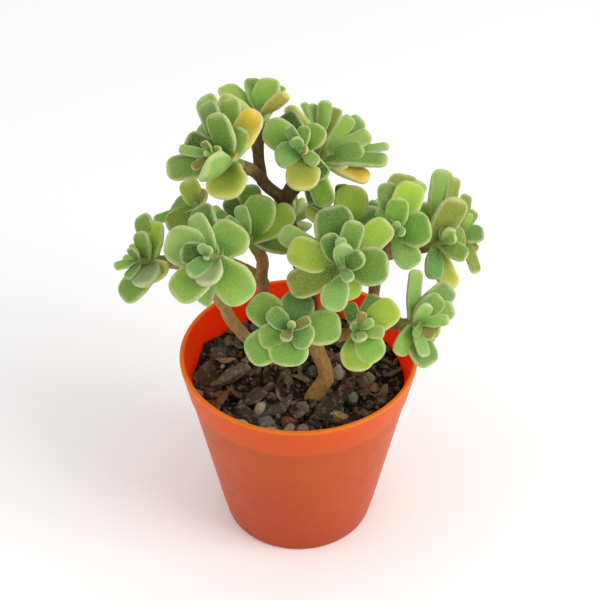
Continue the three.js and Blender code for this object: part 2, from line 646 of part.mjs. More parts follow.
function makeSoil() {
  const floor = POT.floor + GAP;
  const inner = (z) => potRadius(z) - POT.wall - GAP;
  const { rings, sides, footHeight, footCut } = SOIL;
  const rim = inner(soilLevel);
  const foot = floor + footHeight;
  const profile = [[0, floor], [inner(foot) - footCut, floor], [inner(foot), foot]];
  for (let i = 0; i <= rings; i++) profile.push([rim * (1 - i / rings), soilLevel]);
  const body = new THREE.LatheGeometry(profile.map(([r, z]) => new THREE.Vector2(r, z)), sides);
  body.rotateX(Math.PI / 2);
  shape(body, (p) => {
    if (p.z < soilLevel - 0.01) return;
    p.z = soilHeight(p.x, p.y);
    const limit = inner(p.z) / rim;
    const away = Math.hypot(p.x, p.y) / rim;
    if (away > limit) {
      p.x *= limit / away;
      p.y *= limit / away;
    }
  });
  const draw = makeDraw(12);
  const chips = [];
  for (let i = 0; i < SOIL.chips; i++) {
    const size = SOIL.chipSize * mix(0.7, 1.5, draw());
    const away = (rim - size * 1.1 - SOIL.chipMargin) * Math.sqrt((i + 0.5) / SOIL.chips);
    const turn = radians(i * GOLDEN_ANGLE);
    const [x, y] = [away * Math.cos(turn), away * Math.sin(turn)];
    const chip = new THREE.IcosahedronGeometry(size, 0)
      .scale(1, mix(...SOIL.chipWidth, draw()), mix(...SOIL.chipHeight, draw()))
      .rotateX(mix(-0.5, 0.5, draw()))
      .rotateZ(2 * Math.PI * draw())
      .translate(x, y, soilHeight(x, y) + SOIL.chipLift);
    chips.push(solid(chip));
  }
  return wasm.Manifold.union([solid(body), ...chips]).asOriginal().simplify(SKIN);
}

// The whole
const rosettes = Object.entries(ROSETTES).map(([name, rosette]) => ({ name, ...rosette }));
const draw = makeDraw(7);
rosettes.forEach((rosette) => {
  setFrame(rosette);
  rosette.leaves = listLeaves(rosette, draw);
});
const branches = listBranches(rosettes);
settleLeaves(rosettes, Object.values(branches).flat().map(branchBalls));

const plant = new THREE.Group();
plant.add(mesh("pot", makePot(), COLOURS.pot, 0.5));
let soil = makeSoil();
for (const [name, list] of Object.entries(branches)) {
  soil = soil.subtract(makeStem(list, STEM_HOLE));
  plant.add(mesh("stem_" + name, makeStem(list), COLOURS.stem, 0.8));
}
plant.add(mesh("soil", soil, COLOURS.soil, 1));
rosettes.forEach((rosette) => {
  plant.add(mesh("rosette_" + rosette.name, makeRosette(rosette), COLOURS.leaf, 0.6));
});

export default plant;
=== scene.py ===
"""A small Aeonium lindleyi shrub in a plastic nursery pot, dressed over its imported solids.

The leaves and stems grow here by the same rule as in the solids, in millimetres, and are then made finer:
rounded leaves with hairs, stems with leaf scars, loose soil and a moulded pot.
"""
import math
from types import SimpleNamespace as Values

import bmesh
import bpy
import numpy as np
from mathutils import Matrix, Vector, noise


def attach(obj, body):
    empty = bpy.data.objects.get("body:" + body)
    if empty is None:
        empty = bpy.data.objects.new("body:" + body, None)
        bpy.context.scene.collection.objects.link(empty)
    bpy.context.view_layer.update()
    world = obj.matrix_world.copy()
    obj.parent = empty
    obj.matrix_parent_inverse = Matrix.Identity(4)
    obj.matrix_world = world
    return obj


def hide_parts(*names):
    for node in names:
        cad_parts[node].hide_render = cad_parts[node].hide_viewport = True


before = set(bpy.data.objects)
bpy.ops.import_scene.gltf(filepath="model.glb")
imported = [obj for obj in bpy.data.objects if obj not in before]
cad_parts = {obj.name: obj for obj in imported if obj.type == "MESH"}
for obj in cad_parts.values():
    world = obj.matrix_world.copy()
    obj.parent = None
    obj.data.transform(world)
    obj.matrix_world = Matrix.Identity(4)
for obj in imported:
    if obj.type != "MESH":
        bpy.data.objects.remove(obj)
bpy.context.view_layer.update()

MM = 0.001
UP = np.array([0, 0, 1], float)

# The pot, as in the solids.
POT = Values(
    height=78, rim_radius=45, foot_radius=29, wall=1.3, band_height=14, band_step=0.7, lip_height=1.6,
    lip_width=1.9, floor=2, drains=4, drain_radius=3, drain_circle=16)
POT_SIDES = 144
RING = Values(height=8, slope=0.4, step=0.18)  # the slight step above the pot's foot
MIDDLE = 0.5  # how near the axis the pot's rings start
SOIL_LEVEL = POT.height - 12.5
SOIL_WAVES = [(0.31, 0.22, 1.5), (-0.27, 0.41, 1), (0.55, -0.49, 0.75), (0.83, 0.71, 0.5)]
SOIL_GAP = 0.3

# Leaves and stems, as in the solids.
YOUNG = Values(length=5, share=0.48, width=2.5, thick=2.2, curl=0.1, root=0.88)
OLD = Values(length=15, share=0.62, width=8, thick=3.9, curl=0, root=0.32)
NECK = Values(width=0.4, reach=0.55)
ROUND = Values(root=0.08, tip=0.55, most=0.5, powers=(2.6, 2.5))  # how a leaf's outline closes
THICK = Values(root=0.75, tip=0.7, full=(0.3, 0.5))  # a leaf is thinner before and after its middle
LEAF_STEP = 0.08  # leaves start by turns this share of the core lower, level and higher
VARY = Values(width=(0.96, 1.06), curl=(-0.03, 0.03), cup=(0.05, 0.1))
HEART_LEAVES = Values(lean=(28, 10), length=(9, 6))  # those set by rule, from the oldest to the youngest
HIDDEN_LEAVES = Values(lean=(82, 10), length=(17.5, 6))  # and those of a rosette that doesn't show
FILL = Values(outer=45, gap=80, away=0.1, lean=78, length=15)  # and those for gaps between outer leaves
CORE = Values(foot=2.3, top=1.2)
GOLDEN_ANGLE = 137.5
STEM_DEPTH = 20
STEM_RISE = 2
SUNK = 0.8  # how deep a branch starts in what it grows from
TAPER = Values(most=1.15, start=0.95)
CLEAR = 0.35  # the least gap between leaves
REACH = 56  # how near rosettes are whose leaves may meet
EYE = np.array([0, -427, 441], float)

# Finer leaves: how many rows of corners and how many corners round each, how full their section is, their
# two faces in half thicknesses, and where along them the skin closes at the root and at the tip.
FINE = Values(rows=22, sides=24, margin=0.86, faces=0.9, above=0.9, below=1.25, root=0.06, tip=0.9)
DENT = Values(width=0.35, starts=(0.05, 0.3), ends=(0.6, 0.95))
RIM = Values(side=(0.74, 1), tip=(0.9, 1))

# What differs from leaf to leaf, each drawn between two ends.
LEAF_DRAWS = {
    "wave": (-0.03, 0.03), "waves": (3, 7), "phase": (0, 6), "bend": (-0.035, 0.035), "dent": (0.02, 0.14),
}
SHADE_DRAWS = Values(whole=(0.88, 1.12), each=(0.95, 1.05))  # how a leaf's colour varies

# Hairs: their size, how many stand on a square millimetre, how far they stray from upright, how much their
# length varies and is less on a face, how deep their feet are, their colour and how much of it they have.
HAIRS = Values(
    length=0.68, radius=0.05, on_face=0.5, on_rim=6.5, stray=0.28, vary=(0.6, 1.25), on_face_length=0.62,
    sunk=0.08, colour=(232, 238, 208), white=0.75)

STEMS = {
    "front": Values(foot=(6, -12), radius=3.1, lean=(0.25, 0)),
    "left": Values(foot=(-11, 8), radius=2.5, lean=(-0.5, -0.2)),
    "back_left": Values(foot=(-13, 30), radius=2.6, lean=(0, 0)),
    "back": Values(foot=(6, 16), radius=3.2, lean=(0, 0)),
    "right": Values(foot=(22, 4), radius=2.8, lean=(0.1, 0)),
}

# Each fork: its stem, the fork that it grows from or None, its place and its radius.
FORKS = {
    "front_low": ("front", None, (10, -13, 76), 3),
    "front_mid": ("front", "front_low", (6, -11, 92), 2.8),
    "front_top": ("front", "front_mid", (12, -6, 112), 2.3),
    "left_low": ("left", None, (-27, 1, 98), 2.3),
    "left_top": ("left", "left_low", (-30, -7, 112), 2.1),
    "back_left_low": ("back_left", None, (-14, 25, 92), 2.4),
    "back_low": ("back", None, (4, 18, 92), 3),
    "back_mid": ("back", "back_low", (-5, 14, 136), 2.6),
    "back_fork_left": ("back", "back_mid", (-13, 14, 146), 2.1),
    "right_low": ("right", None, (27, 2, 94), 2.6),
    "right_top": ("right", "right_low", (28, 4, 117), 2.1),
}

# Bark: the size of its voxels, each stem's colour, its waves, and the leaf scars: how far apart they are,
# their steps round the stem, each dent's depth and width, and its raised edge's height, place and width.
STEM_VOXEL = 0.5
# The back stem's dark brown is partly painted shade, as it stands in shade behind the rosettes.
STEM_SKINS = {
    "front": (180, 144, 78), "left": (206, 172, 108), "back_left": (176, 138, 86), "back": (90, 60, 20),
    "right": (150, 116, 68),
}
BARK = Values(stretch=0.35, fine=1.6, fine_height=0.16, coarse=6, coarse_height=0.22)
SCARS = Values(apart=0.9, sides=36, step=14, dent=(0.13, 0.45), edge=(0.1, 0.85, 0.3))
FLARE = Values(size=0.9, height=2.5, below=3)  # how a stem widens at the soil

# Each rosette: its fork, heart, facing, core, young leaves and their first turn, how much its leaves twist
# to the eye, the tips of those that show, and their colours.
ROSETTES = {
    "front_low": ("front_mid", (-3, -32, 115), (-4, 46), 8, 0, 330, 0.5, [
        (-13, 11, -5, 12.5), (4, 13, -10, 12), (18, 1, -5, 12.5), (-1, -13, 5, 13.5), (-15, -9, 0, 12.5),
        (8, -4, 15, 9.5), (-11, -3, 10, 9.5), (-7, 7, 15, 7), (-2, -4, 45, 4), (7, 4, 10, 3.5),
        (1, 3, 35, 3)],
        "green bluish green green green bluish green bluish brown brown pale"),
    "front_right": ("front_mid", (21, -28, 112), (6, 50), 8, 0, 60, 0.5, [
        (13, 9, -5, 10.5), (9, -1, 5, 5), (7, -11, 5, 11), (-6, -14, 0, 12), (-3, -6, 30, 6.5),
        (-3, 3, 30, 6.5), (-4, 9, -20, 5.5), (6, 12, -15, 6.5), (1, 6, 10, 3.5), (2, -4, 45, 3.5),
        (-2, -1, 20, 4.5), (5, 3, 20, 3.5)],
        "lime pale light lime bluish dark dark dark brown pale bluish pale"),
    "right_low": ("right_low", (44, -20, 108), (58, 26), 10, 0, 20, 0.9, [
        (-3, 19, 0, 5.5), (9, 14, -10, 9), (5, 10, 0, 8), (11, 7, -10, 7.5), (9, 2, 10, 4.5),
        (1, 7, 25, 5.5), (7, -3, 5, 6.5), (4, -5, 5, 5.5), (-4, -5, 20, 3), (4, -15, 0, 10.5),
        (1, -12, 15, 5), (-9, -12, 10, 6.5)],
        "pale bluish green pale pale pale olive brown green bluish pale light"),
    "centre": ("front_top", (15, -24, 136), (2, 40), 10, 0, 250, 0.6, [
        (-5, 21, -5, 14), (4, 16, 8, 7.5), (15, 16, -8, 10.5), (16, 1, 10, 13), (-19, 6, 0, 11.5),
        (-22, 12, -16, 7.5), (-6, 11, 15, 7), (0, 8, 35, 7), (7, 4, 35, 6.5), (-4, -15, 10, 10),
        (4, -11, -15, 9), (-18, -8, -14, 11), (3, -5, 40, 4.5), (-1, 10, -5, 4)],
        "dark green lime green lime pale dark pale dark pale lime moss bluish pale"),
    "centre_back": ("front_top", (18, 0, 137), (6, 76), 9, 0, 10, 0.8, [
        (1, 14, 0, 12), (-15, 6, -5, 8.5), (-14, 8, -15, 4.5), (10, 4, -10, 4.5), (-3, 14, -25, 5.5)],
        "lime lemon deep bluish deep"),
    "left_front": ("left_top", (-31, -27, 143), (-42, 36), 10, 0, 0, 0.6, [
        (-14, 6, -5, 14), (-4, 14, -8, 7), (-1, 17, -25, 9), (11, 10, 10, 14.5), (-11, -14, 5, 13),
        (14, -16, 2, 15), (-1, -17, -35, 6), (-1, -10, 40, 9), (-6, -6, 25, 6.5), (-9, 2, 10, 8),
        (-2, 4, 15, 3.5), (2, 3, 30, 3.5), (-1, -1, 45, 2), (7, 12, -15, 13)],
        "pale pale dark light light light pale purple bluish deep pale pale pale pale"),
    "left_back": ("back_left_low", (-19, 0, 133), (-40, 60), 11, 0, 0, 0.9, [
        (1, 18, -5, 9), (7, 13, 14, 12.5), (18, 8, 2, 9.5), (-6, 13, -15, 7), (-2, 10, 15, 5),
        (-11, 7, 0, 5.5), (-12, 9, -25, 4), (-7, 6, 30, 3.5), (14, -8, -35, 6.5)],
        "green light lime deep pale dark pale bluish moss"),
    "far_left": ("left_low", (-57, -14, 131), (-70, 16), 11, 0, 0, 1, [
        (3, 16, -15, 8), (9, 13, -5, 6.5), (3, 10, 10, 6), (-1, 6, -10, 2.5), (2, -9, 35, 12),
        (10, -7, 14, 10.5), (-6, -13, -10, 10.5), (-4, 1, -5, 3.5), (-6, -2, 0, 3.5), (-4, -6, 5, 3.5),
        (-1, 5, 20, 3.5)],
        "green lime green pale mauve lemon green pale pale bluish bluish"),
    "left_behind": ("left_low", (-38, 12, 138), (-95, 58), 8, 0, 50, 1, [
        (-10, -8, 8, 11), (-2, 8, -20, 7.5), (4, 4, -25, 5.5), (-14, -6, -20, 4)],
        "moss lemon brown green"),
    "top_left": ("back_fork_left", (-30, -3, 168), (-64, 36), 14, 0, 0, 0.8, [
        (2, 14, 20, 9.5), (-1, 20, -25, 9), (0, 17, -8, 7.5), (7, 19, -10, 8), (12, 8, 16, 8.5),
        (18, 13, 10, 10.5), (-4, 10, -35, 5.5), (-8, 5, -5, 9), (-9, 1, -30, 3.5), (-5, 7, -40, 4),
        (-15, -5, -5, 9), (-1, -6, 60, 11), (3, -15, 30, 16), (-6, -5, 10, 3.5), (-1, 4, 10, 3),
        (2, 3, 15, 3.5), (-2, 0, 30, 2.5)],
        "green light bluish light light gold pale deep pale brown green light lemon brown brown lime pale"),
    "top_back": ("back_fork_left", (-13, 27, 170), (170, 50), 10, 0, 30, 1, [
        (-15, 2, -12, 9), (-14, 6, -28, 9), (-4, 8, -35, 6.5), (4, 9, -12, 12), (9, 2, 30, 5.5),
        (8, 4, -30, 3.5)],
        "lemon light green light orange pale"),
    "top_front": ("back_mid", (0, 6, 164), (-22, 40), 10, 0, 0, 0.7, [
        (-4, 8, 8, 4), (2, 8, 0, 5), (-1, 4, 35, 5), (3, 0, 35, 3.5), (7, -5, 15, 4.5), (-8, -3, 5, 9.5),
        (-12, 8, -5, 11), (-6, 13, -25, 8.5), (8, 8, 8, 8.5), (1, -14, 35, 12), (11, -19, -15, 8),
        (10, -10, 12, 6), (4, -18, -30, 5)],
        "bluish green green olive pale pale light deep green yellow vivid deep deep"),
    "top_right": ("back_mid", (11, 15, 158), (100, 50), 9, 0, 0, 0.7, [
        (8, 1, 14, 13.5), (12, 0, 6, 10), (20, -4, 10, 6.5), (21, 1, -20, 3.5), (16, 0, -30, 5.5),
        (7, 11, -25, 5.5), (12, 11, -22, 7), (14, 6, -10, 6.5), (12, -13, 15, 7)],
        "olive green green pale olive light bluish pale orange"),
    "top_right_back": ("back_mid", (8, 38, 152), (175, 58), 9, 0, 130, 1, [
        (-12, 9, 10, 6.5), (-4, 9, -5, 6), (2, 10, 8, 5.5), (6, 9, -25, 6.5), (-7, 9, -30, 3)],
        "lemon pale light olive pale"),
    "right_front": ("right_top", (34, -8, 140), (10, 50), 9, 0, 0, 0.8, [
        (-5, 16, -16, 7), (5, 17, -8, 10.5), (0, 11, 15, 8), (12, 2, 5, 12.5), (3, -1, 20, 3.5),
        (-7, 7, -4, 3.5), (2, 20, -30, 11), (6, -13, -15, 9.5), (8, 17, -36, 6), (0, 3, 25, 3)],
        "bluish lime vivid vivid pale bluish olive pale pale pale"),
    "right_side": ("right_top", (54, 3, 128), (60, 36), 11, 0, 0, 1, [
        (2, 15, 25, 11), (-5, 25, -10, 9), (-1, 22, -22, 5), (-9, 13, 0, 9), (-2, 7, 10, 5), (0, 4, 30, 5),
        (3, 1, 30, 4), (-5, -15, 2, 7.5), (6, -6, 5, 7), (3, -18, -12, 8.5)],
        "olive light olive vivid pale pale pale bluish green yellow"),
    "far_right": ("right_top", (63, 25, 117), (85, 34), 9, 0, 0, 1, [
        (7, -1, -3, 7.5), (2, 7, -10, 5), (-3, 12, -25, 5), (1, 6, 5, 3.5), (2, -7, -10, 8),
        (4, -17, -5, 5), (4, -8, -25, 3.5)],
        "bluish green olive pale green olive brown"),
    "back_left_low": ("back_left_low", (-40, 40, 108), (-145, 34), 9, 10, 0, 0, [], ""),
    "back_middle": ("back_low", (-4, 52, 108), (180, 38), 9, 10, 70, 0, [], ""),
    "back_right": ("back_low", (30, 44, 110), (150, 36), 9, 10, 140, 0, [], ""),
}

# How a leaf may be bent, round the core and out from it, and how it may be shrunk, the least first.
BENDS = [
    (0, 0), (0, -7), (0, 7), (9, 0), (-9, 0), (9, -7), (-9, -7), (0, -14), (0, 14), (16, -7), (-16, -7),
    (16, 7), (-16, 7), (0, -22), (0, 22), (24, -14), (-24, -14), (24, 8), (-24, 8),
]
SHRINKS = (1, 0.9, 0.8)

# Leaf colours as they look in soft light, from 0 to 255. Deep is painted shade, dark partly painted shade.
LEAF_COLOURS = {
    "green": (110, 148, 60), "dark": (84, 124, 46), "deep": (58, 92, 24), "vivid": (104, 150, 46),
    "pale": (134, 170, 92), "light": (132, 170, 76), "lime": (146, 176, 56), "olive": (132, 144, 54),
    "brown": (124, 118, 52), "moss": (112, 130, 40), "mauve": (134, 148, 104), "bluish": (104, 142, 76),
    "yellow": (192, 186, 76), "lemon": (172, 184, 70), "purple": (146, 164, 122), "gold": (214, 186, 56),
    "orange": (212, 172, 62),
}

# How much greener the middle of a leaf that has begun to yellow is.
AGED = Values(middle=(122, 142, 34), kinds={"gold": 0.6, "orange": 0.3, "yellow": 0.55, "lemon": 0.6})

# How much of a leaf's colour there is in red, green and blue: painted shade at the root, partly painted
# light at the tip.
SHADES = Values(root=(0.34, 0.54, 0.16), middle=(0.99, 1.03, 0.84), tip=(1.28, 1.13, 1.3))

# The colours that leaves set by rule may have, and the length below which a leaf is young.
RULE_KINDS = Values(
    old=["green", "green", "green", "vivid", "light", "bluish", "pale"], young=["pale", "bluish", "green"])
YOUNG_LENGTH = 10

# Chunks of soil that stand out: right, away, size, kind and colour.
CHUNKS = [
    (-10, -33, 4.6, "stone", (172, 150, 138)), (-30, -15, 9, "bark", (128, 96, 52)),
    (-21, -23, 9.5, "bark", (66, 60, 50)), (-25, -5, 9.5, "bark", (116, 98, 80)),
    (-8, -20, 8.5, "bark", (92, 86, 72)), (12, -20, 8, "bark", (70, 64, 54)),
    (-33, 2, 8, "bark", (92, 72, 60)), (21, -26, 7.5, "bark", (84, 74, 58)),
    (2, -33, 4.2, "stone", (150, 118, 100)), (15, -27, 4.4, "stone", (150, 128, 84)),
    (-12, -27, 3.8, "stone", (116, 112, 104)), (-31, -14, 4.6, "bark", (112, 84, 46)),
    (-23, -10, 5, "bark", (110, 80, 58)), (-17, -14, 7, "bark", (88, 68, 54)),
    (22, -18, 5.2, "bark", (122, 102, 70)), (20, -13, 3.4, "stone", (112, 122, 104)),
    (-20, -31, 3, "stone", (196, 176, 132)), (17, -33, 2.8, "stone", (120, 124, 96)),
    (-38, -13, 2.8, "stone", (140, 116, 104)), (0, -13, 4.6, "bark", (118, 70, 50)),
    (-31, -6, 3.2, "stone", (126, 70, 48)), (34, -20, 2.8, "stone", (150, 60, 44)),
    (-4, -28, 3.6, "stone", (112, 66, 40)), (-27, -25, 4.4, "bark", (112, 82, 66)),
    (8, -24, 4, "bark", (92, 62, 46)), (28, -22, 4.2, "bark", (70, 52, 44)),
]

# Each kind of chunk: how many planes cut it and how near, its length, width and height, how far it may
# tilt, and its colours. A plane leaves a little of what stands past it.
PRESSED = 0.93
LUMP = {"near": (0.55, 0.9), "length": 1, "width": (0.65, 0.95), "height": (0.5, 0.8), "tilt": 1.2}
KINDS = {
    "bark": Values(
        planes=6, near=(0.45, 0.85), length=1.15, width=(0.4, 0.75), height=(0.14, 0.28), tilt=0.8,
        colours=[(112, 92, 70), (132, 110, 84), (84, 72, 60), (98, 80, 62), (146, 122, 90), (124, 86, 60)]),
    "stone": Values(
        planes=9, **LUMP,
        colours=[(134, 126, 112), (160, 148, 128), (120, 96, 74), (120, 106, 90), (112, 104, 96)]),
    "crumb": Values(
        planes=5, **LUMP,
        colours=[(96, 76, 58), (74, 60, 50), (120, 98, 74), (60, 50, 44), (140, 118, 90)]),
}

# Chunks set by draw: how many, their sizes and kinds or share of pale ones. Each has some tries for a place
# that is clear of the others, by a share of both sizes, and of the stems, by a gap and a share of its size.
STREWN = Values(count=210, size=(2.2, 4.6), kinds=["bark", "bark", "bark", "bark", "stone"])
CRUMBS = Values(count=700, size=(0.7, 1.7), pale=0.02, pale_colour=(196, 190, 176))
NEAR = Values(tries=30, chunks=0.5, stem=2.6, share=0.7)
LAID = Values(lift=(-0.05, 0.35), sunk=0.4, wall_gap=0.35)  # how high chunks lie, and how far off the wall


def mix(a, b, t):
    return a + (b - a) * t


def smooth(low, high, x):
    t = np.clip((x - low) / (high - low), 0, 1)
    return t * t * (3 - 2 * t)


def unit(v):
    return v / np.linalg.norm(v)


def units(rows):
    return rows / np.linalg.norm(rows, axis=1)[:, None]


def turns_round(sides):
    return 2 * np.pi * np.arange(sides) / sides


def linear(colour):
    """A colour from 0 to 255 as the light it stands for."""
    c = np.array(colour, float) / 255
    return np.where(c <= 0.04045, c / 12.92, ((c + 0.055) / 1.055) ** 2.4)


def make_draws(seed):
    """Repeatable draws from 0 to 1, the same as in the solids."""
    while True:
        seed = (seed * 1664525 + 1013904223) % 4294967296
        yield seed / 4294967296


# Growth: the same rules as in the solids.
def leaf_outline(leaf, a):
    """Half the width of a leaf along its length, as a share of its widest."""
    a = np.asarray(a, float)
    neck = mix(NECK.width, 1, smooth(0, NECK.reach, a))
    end = min(ROUND.tip * leaf.width / leaf.length, ROUND.most)
    inner, outer = ROUND.powers
    tip = (1 - (np.clip(a - 1 + end, 0, end) / end) ** inner) ** (1 / outer)
    root = np.sqrt(1 - (1 - np.clip(a, 0, ROUND.root) / ROUND.root) ** 2)
    return neck * tip * root


def leaf_axes(rosette, leaf):
    """The way a leaf points, and the way its face looks before it twists to the eye."""
    turn, lean = math.radians(leaf.turn), math.radians(leaf.lean)
    out = rosette.across * math.cos(turn) + rosette.upward * math.sin(turn)
    along = rosette.line * math.cos(lean) + out * math.sin(lean)
    return along, rosette.line * math.sin(lean) - out * math.cos(lean)


def leaf_frame(rosette, leaf):
    """Where a leaf stands: its root, the way it points, the way its face looks and its side."""
    along, face = leaf_axes(rosette, leaf)
    shown = rosette.sight - along * along.dot(rosette.sight)
    face = unit(face + shown * math.copysign(rosette.show, face.dot(shown)))
    return leaf_root(rosette, leaf.width, leaf.step), along, face, np.cross(along, face)


def leaf_age(width):
    return smooth(YOUNG.width, OLD.width, width)


def leaf_root(rosette, width, step=0):
    """A place on the core, the older the leaf the lower."""
    share = mix(YOUNG.root, OLD.root, leaf_age(width)) + LEAF_STEP * step
    return rosette.base + rosette.line * rosette.core * share


def leaf_points(leaf, place, a, x, y):
    """Points of a leaf: a along it, x across it and y through it."""
    root, along, face, side = place
    outline = leaf_outline(leaf, a)
    start, end = THICK.full
    thick = leaf.thick / 2 * mix(THICK.root, 1, smooth(0, start, a)) * mix(1, THICK.tip, smooth(end, 1, a))
    lift = leaf.length * leaf.curl * a * a + leaf.width * leaf.cup * x * x * outline
    return (root + np.multiply.outer(leaf.length * a, along)
            + np.multiply.outer(leaf.width / 2 * outline * x, side)
            + np.multiply.outer(lift + thick * y, face))


def aim_leaf(rosette, right, above, tilt, width):
    """The turn, lean, length and width of a leaf whose tip shows at a place beside the heart."""
    sight = rosette.sight
    rightward = unit(np.cross(UP, sight))
    skyward = np.cross(sight, rightward)
    tip = rosette.heart + rightward * right + skyward * above
    aim = tip - leaf_root(rosette, width)
    aim = aim - sight * aim.dot(sight)
    aim = aim + sight * np.linalg.norm(aim) * math.tan(math.radians(tilt))
    length = np.linalg.norm(aim)
    aim = aim / length
    turn = math.degrees(math.atan2(aim.dot(rosette.upward), aim.dot(rosette.across)))
    lean = math.degrees(math.acos(aim.dot(rosette.line)))
    return Values(turn=turn, lean=lean, length=length, width=width)


def fill_gaps(rosette, leaves):
    """One or more leaves for each wide gap between the outer leaves, unless they would lean to the eye."""
    turns = sorted((leaf.turn + 360) % 360 for leaf in leaves if leaf.lean > FILL.outer)
    filled = []
    for turn, after in zip(turns, turns[1:] + [turns[0] + 360] if turns else []):
        parts = math.ceil((after - turn) / FILL.gap)
        for k in range(1, parts):
            leaf = Values(turn=turn + (after - turn) * k / parts, lean=FILL.lean, length=FILL.length)
            if leaf_axes(rosette, leaf)[0].dot(rosette.sight) < FILL.away:
                filled.append(leaf)
    return filled


def list_leaves(rosette, draws):
    """The leaves that show, those in the gaps between them and those set by rule."""
    leaves = [aim_leaf(rosette, *tip) for tip in rosette.tips]
    rule = HEART_LEAVES if leaves else HIDDEN_LEAVES
    leaves += fill_gaps(rosette, leaves)
    for i in range(rosette.inner):
        t = i / max(rosette.inner - 1, 1)
        turn = rosette.start + i * GOLDEN_ANGLE
        leaves.append(Values(turn=turn, lean=mix(*rule.lean, t), length=mix(*rule.length, t)))
    for i, leaf in enumerate(leaves):
        leaf.place = i
        leaf.step = i % 3 - 1
        share = mix(YOUNG.share, OLD.share, smooth(YOUNG.length, OLD.length, leaf.length))
        leaf.width = getattr(leaf, "width", leaf.length * share) * mix(*VARY.width, next(draws))
        age = leaf_age(leaf.width)
        leaf.thick = mix(YOUNG.thick, OLD.thick, age)
        leaf.curl = mix(YOUNG.curl, OLD.curl, age) + mix(*VARY.curl, next(draws))
        leaf.cup = mix(*VARY.cup, next(draws))
    return leaves


# Where the balls that stand for a leaf lie along it and across it.
BALLS_ALONG, BALLS_ACROSS = (m.ravel() for m in np.meshgrid(
    [0.2, 0.36, 0.52, 0.68, 0.84, 0.96], [-0.86, -0.43, 0, 0.43, 0.86], indexing="ij"))


def leaf_balls(rosette, leaf):
    """Balls that stand for a leaf when its neighbours are kept clear of it: their centres and radii."""
    centres = leaf_points(leaf, leaf_frame(rosette, leaf), BALLS_ALONG, BALLS_ACROSS, 0)
    return np.column_stack([centres, np.full(len(centres), leaf.thick / 2)])


def is_clear(balls, others):
    apart = np.linalg.norm(balls[:, None, :3] - others[None, :, :3], axis=2)
    return (apart > balls[:, None, 3] + others[None, :, 3] + CLEAR).all()


def settle_leaf(rosette, leaf, others):
    """A leaf bent or shrunk until it is clear of the others, or None."""
    for shrink in SHRINKS:
        for side, more in BENDS:
            bent = Values(**vars(leaf))
            bent.turn, bent.lean = leaf.turn + side, leaf.lean + more
            bent.length, bent.width = leaf.length * shrink, leaf.width * shrink
            if is_clear(leaf_balls(rosette, bent), others):
                return bent
    return None


def settle_leaves(rosettes, stem_balls):
    """Bends each leaf that meets another rosette or a stem clear of it, and drops the few that can't be."""
    placed = []
    for rosette in rosettes.values():
        near = [balls for base, balls in placed if np.linalg.norm(base - rosette.base) < REACH]
        others = np.vstack(near + [stem_balls])
        settled = [settle_leaf(rosette, leaf, others) for leaf in rosette.leaves]
        rosette.leaves = [leaf for leaf in settled if leaf]
        core = [[*(rosette.base + rosette.line * rosette.core * t), CORE.foot]
                for t in (0.2, 0.4, 0.6, 0.8)]
        placed += [(rosette.base, leaf_balls(rosette, leaf)) for leaf in rosette.leaves]
        placed.append((rosette.base, np.array(core)))


class Branch:
    """A smooth curve with a radius at each end, from a little inside what it grows from."""

    def __init__(self, corners, radii):
        self.corners = np.array(corners, float)
        self.radii = radii
        steps = self.at(np.linspace(0, 1, 201))
        self.length = np.linalg.norm(np.diff(steps, axis=0), axis=1).sum()

    def at(self, t):
        weights = np.column_stack([(1 - t) ** 3, 3 * t * (1 - t) ** 2, 3 * t * t * (1 - t), t ** 3])
        return weights @ self.corners

    def balls(self):
        steps = math.ceil(self.length / 2)
        t = np.arange(steps) / steps
        return np.column_stack([self.at(t), mix(*self.radii, t)])


def straight(start, end, radii):
    return Branch([mix(start, end, i / 3) for i in range(4)], radii)


def grow_branch(start, line, start_radius, to, to_line, radius):
    root = start - line * SUNK
    reach = np.linalg.norm(to - root) / 3
    return Branch([root, root + line * reach, to - to_line * reach, to],
                  (TAPER.start * min(start_radius, TAPER.most * radius), radius))


def list_branches(rosettes):
    """The branches of every stem: up through the soil, from fork to fork, and out to each rosette."""
    branches = {}
    ends = {}
    for name, stem in STEMS.items():
        line = unit(np.array([*stem.lean, 1], float))
        top = np.array([*stem.foot, SOIL_LEVEL], float) + line * STEM_RISE
        bottom = top - line * (STEM_DEPTH + STEM_RISE)
        branches[name] = [straight(bottom, top, (stem.radius * 0.9, stem.radius))]
        ends["soil", name] = (top, line, stem.radius)
    for name, (stem, source, at, radius) in FORKS.items():
        start, line, start_radius = ends["fork", source] if source else ends["soil", stem]
        place = np.array(at, float)
        to_line = unit(unit(place - start) + UP)
        branches[stem].append(grow_branch(start, line, start_radius, place, to_line, radius))
        ends["fork", name] = (place, to_line, radius)
    for rosette in rosettes.values():
        base = rosette.base
        place, fork_line, radius = ends["fork", rosette.source]
        line = unit(mix(unit(base - place), fork_line, 0.5))
        made = grow_branch(place, line, radius, base, rosette.line, CORE.foot)
        branches[FORKS[rosette.source][0]].append(made)
    return branches


def grow():
    """The rosettes with their leaves, and the branches."""
    rosettes = {}
    draws = make_draws(7)
    for name, (source, heart, facing, core, inner, start, show, tips, kinds) in ROSETTES.items():
        turn, rise = (math.radians(v) for v in facing)
        level = math.cos(rise)
        line = np.array([math.sin(turn) * level, -math.cos(turn) * level, math.sin(rise)])
        across = unit(np.array([1, 0, 0]) - line * line[0])
        rosette = Values(
            source=source, heart=np.array(heart, float), core=core, inner=inner, start=start, show=show,
            tips=tips, kinds=kinds.split(), sight=unit(EYE - heart), line=line, across=across,
            upward=np.cross(line, across), base=np.array(heart, float) - line * core)
        rosette.leaves = list_leaves(rosette, draws)
        rosettes[name] = rosette
    branches = list_branches(rosettes)
    stem_balls = np.vstack([branch.balls() for each in branches.values() for branch in each])
    settle_leaves(rosettes, stem_balls)
    return rosettes, branches


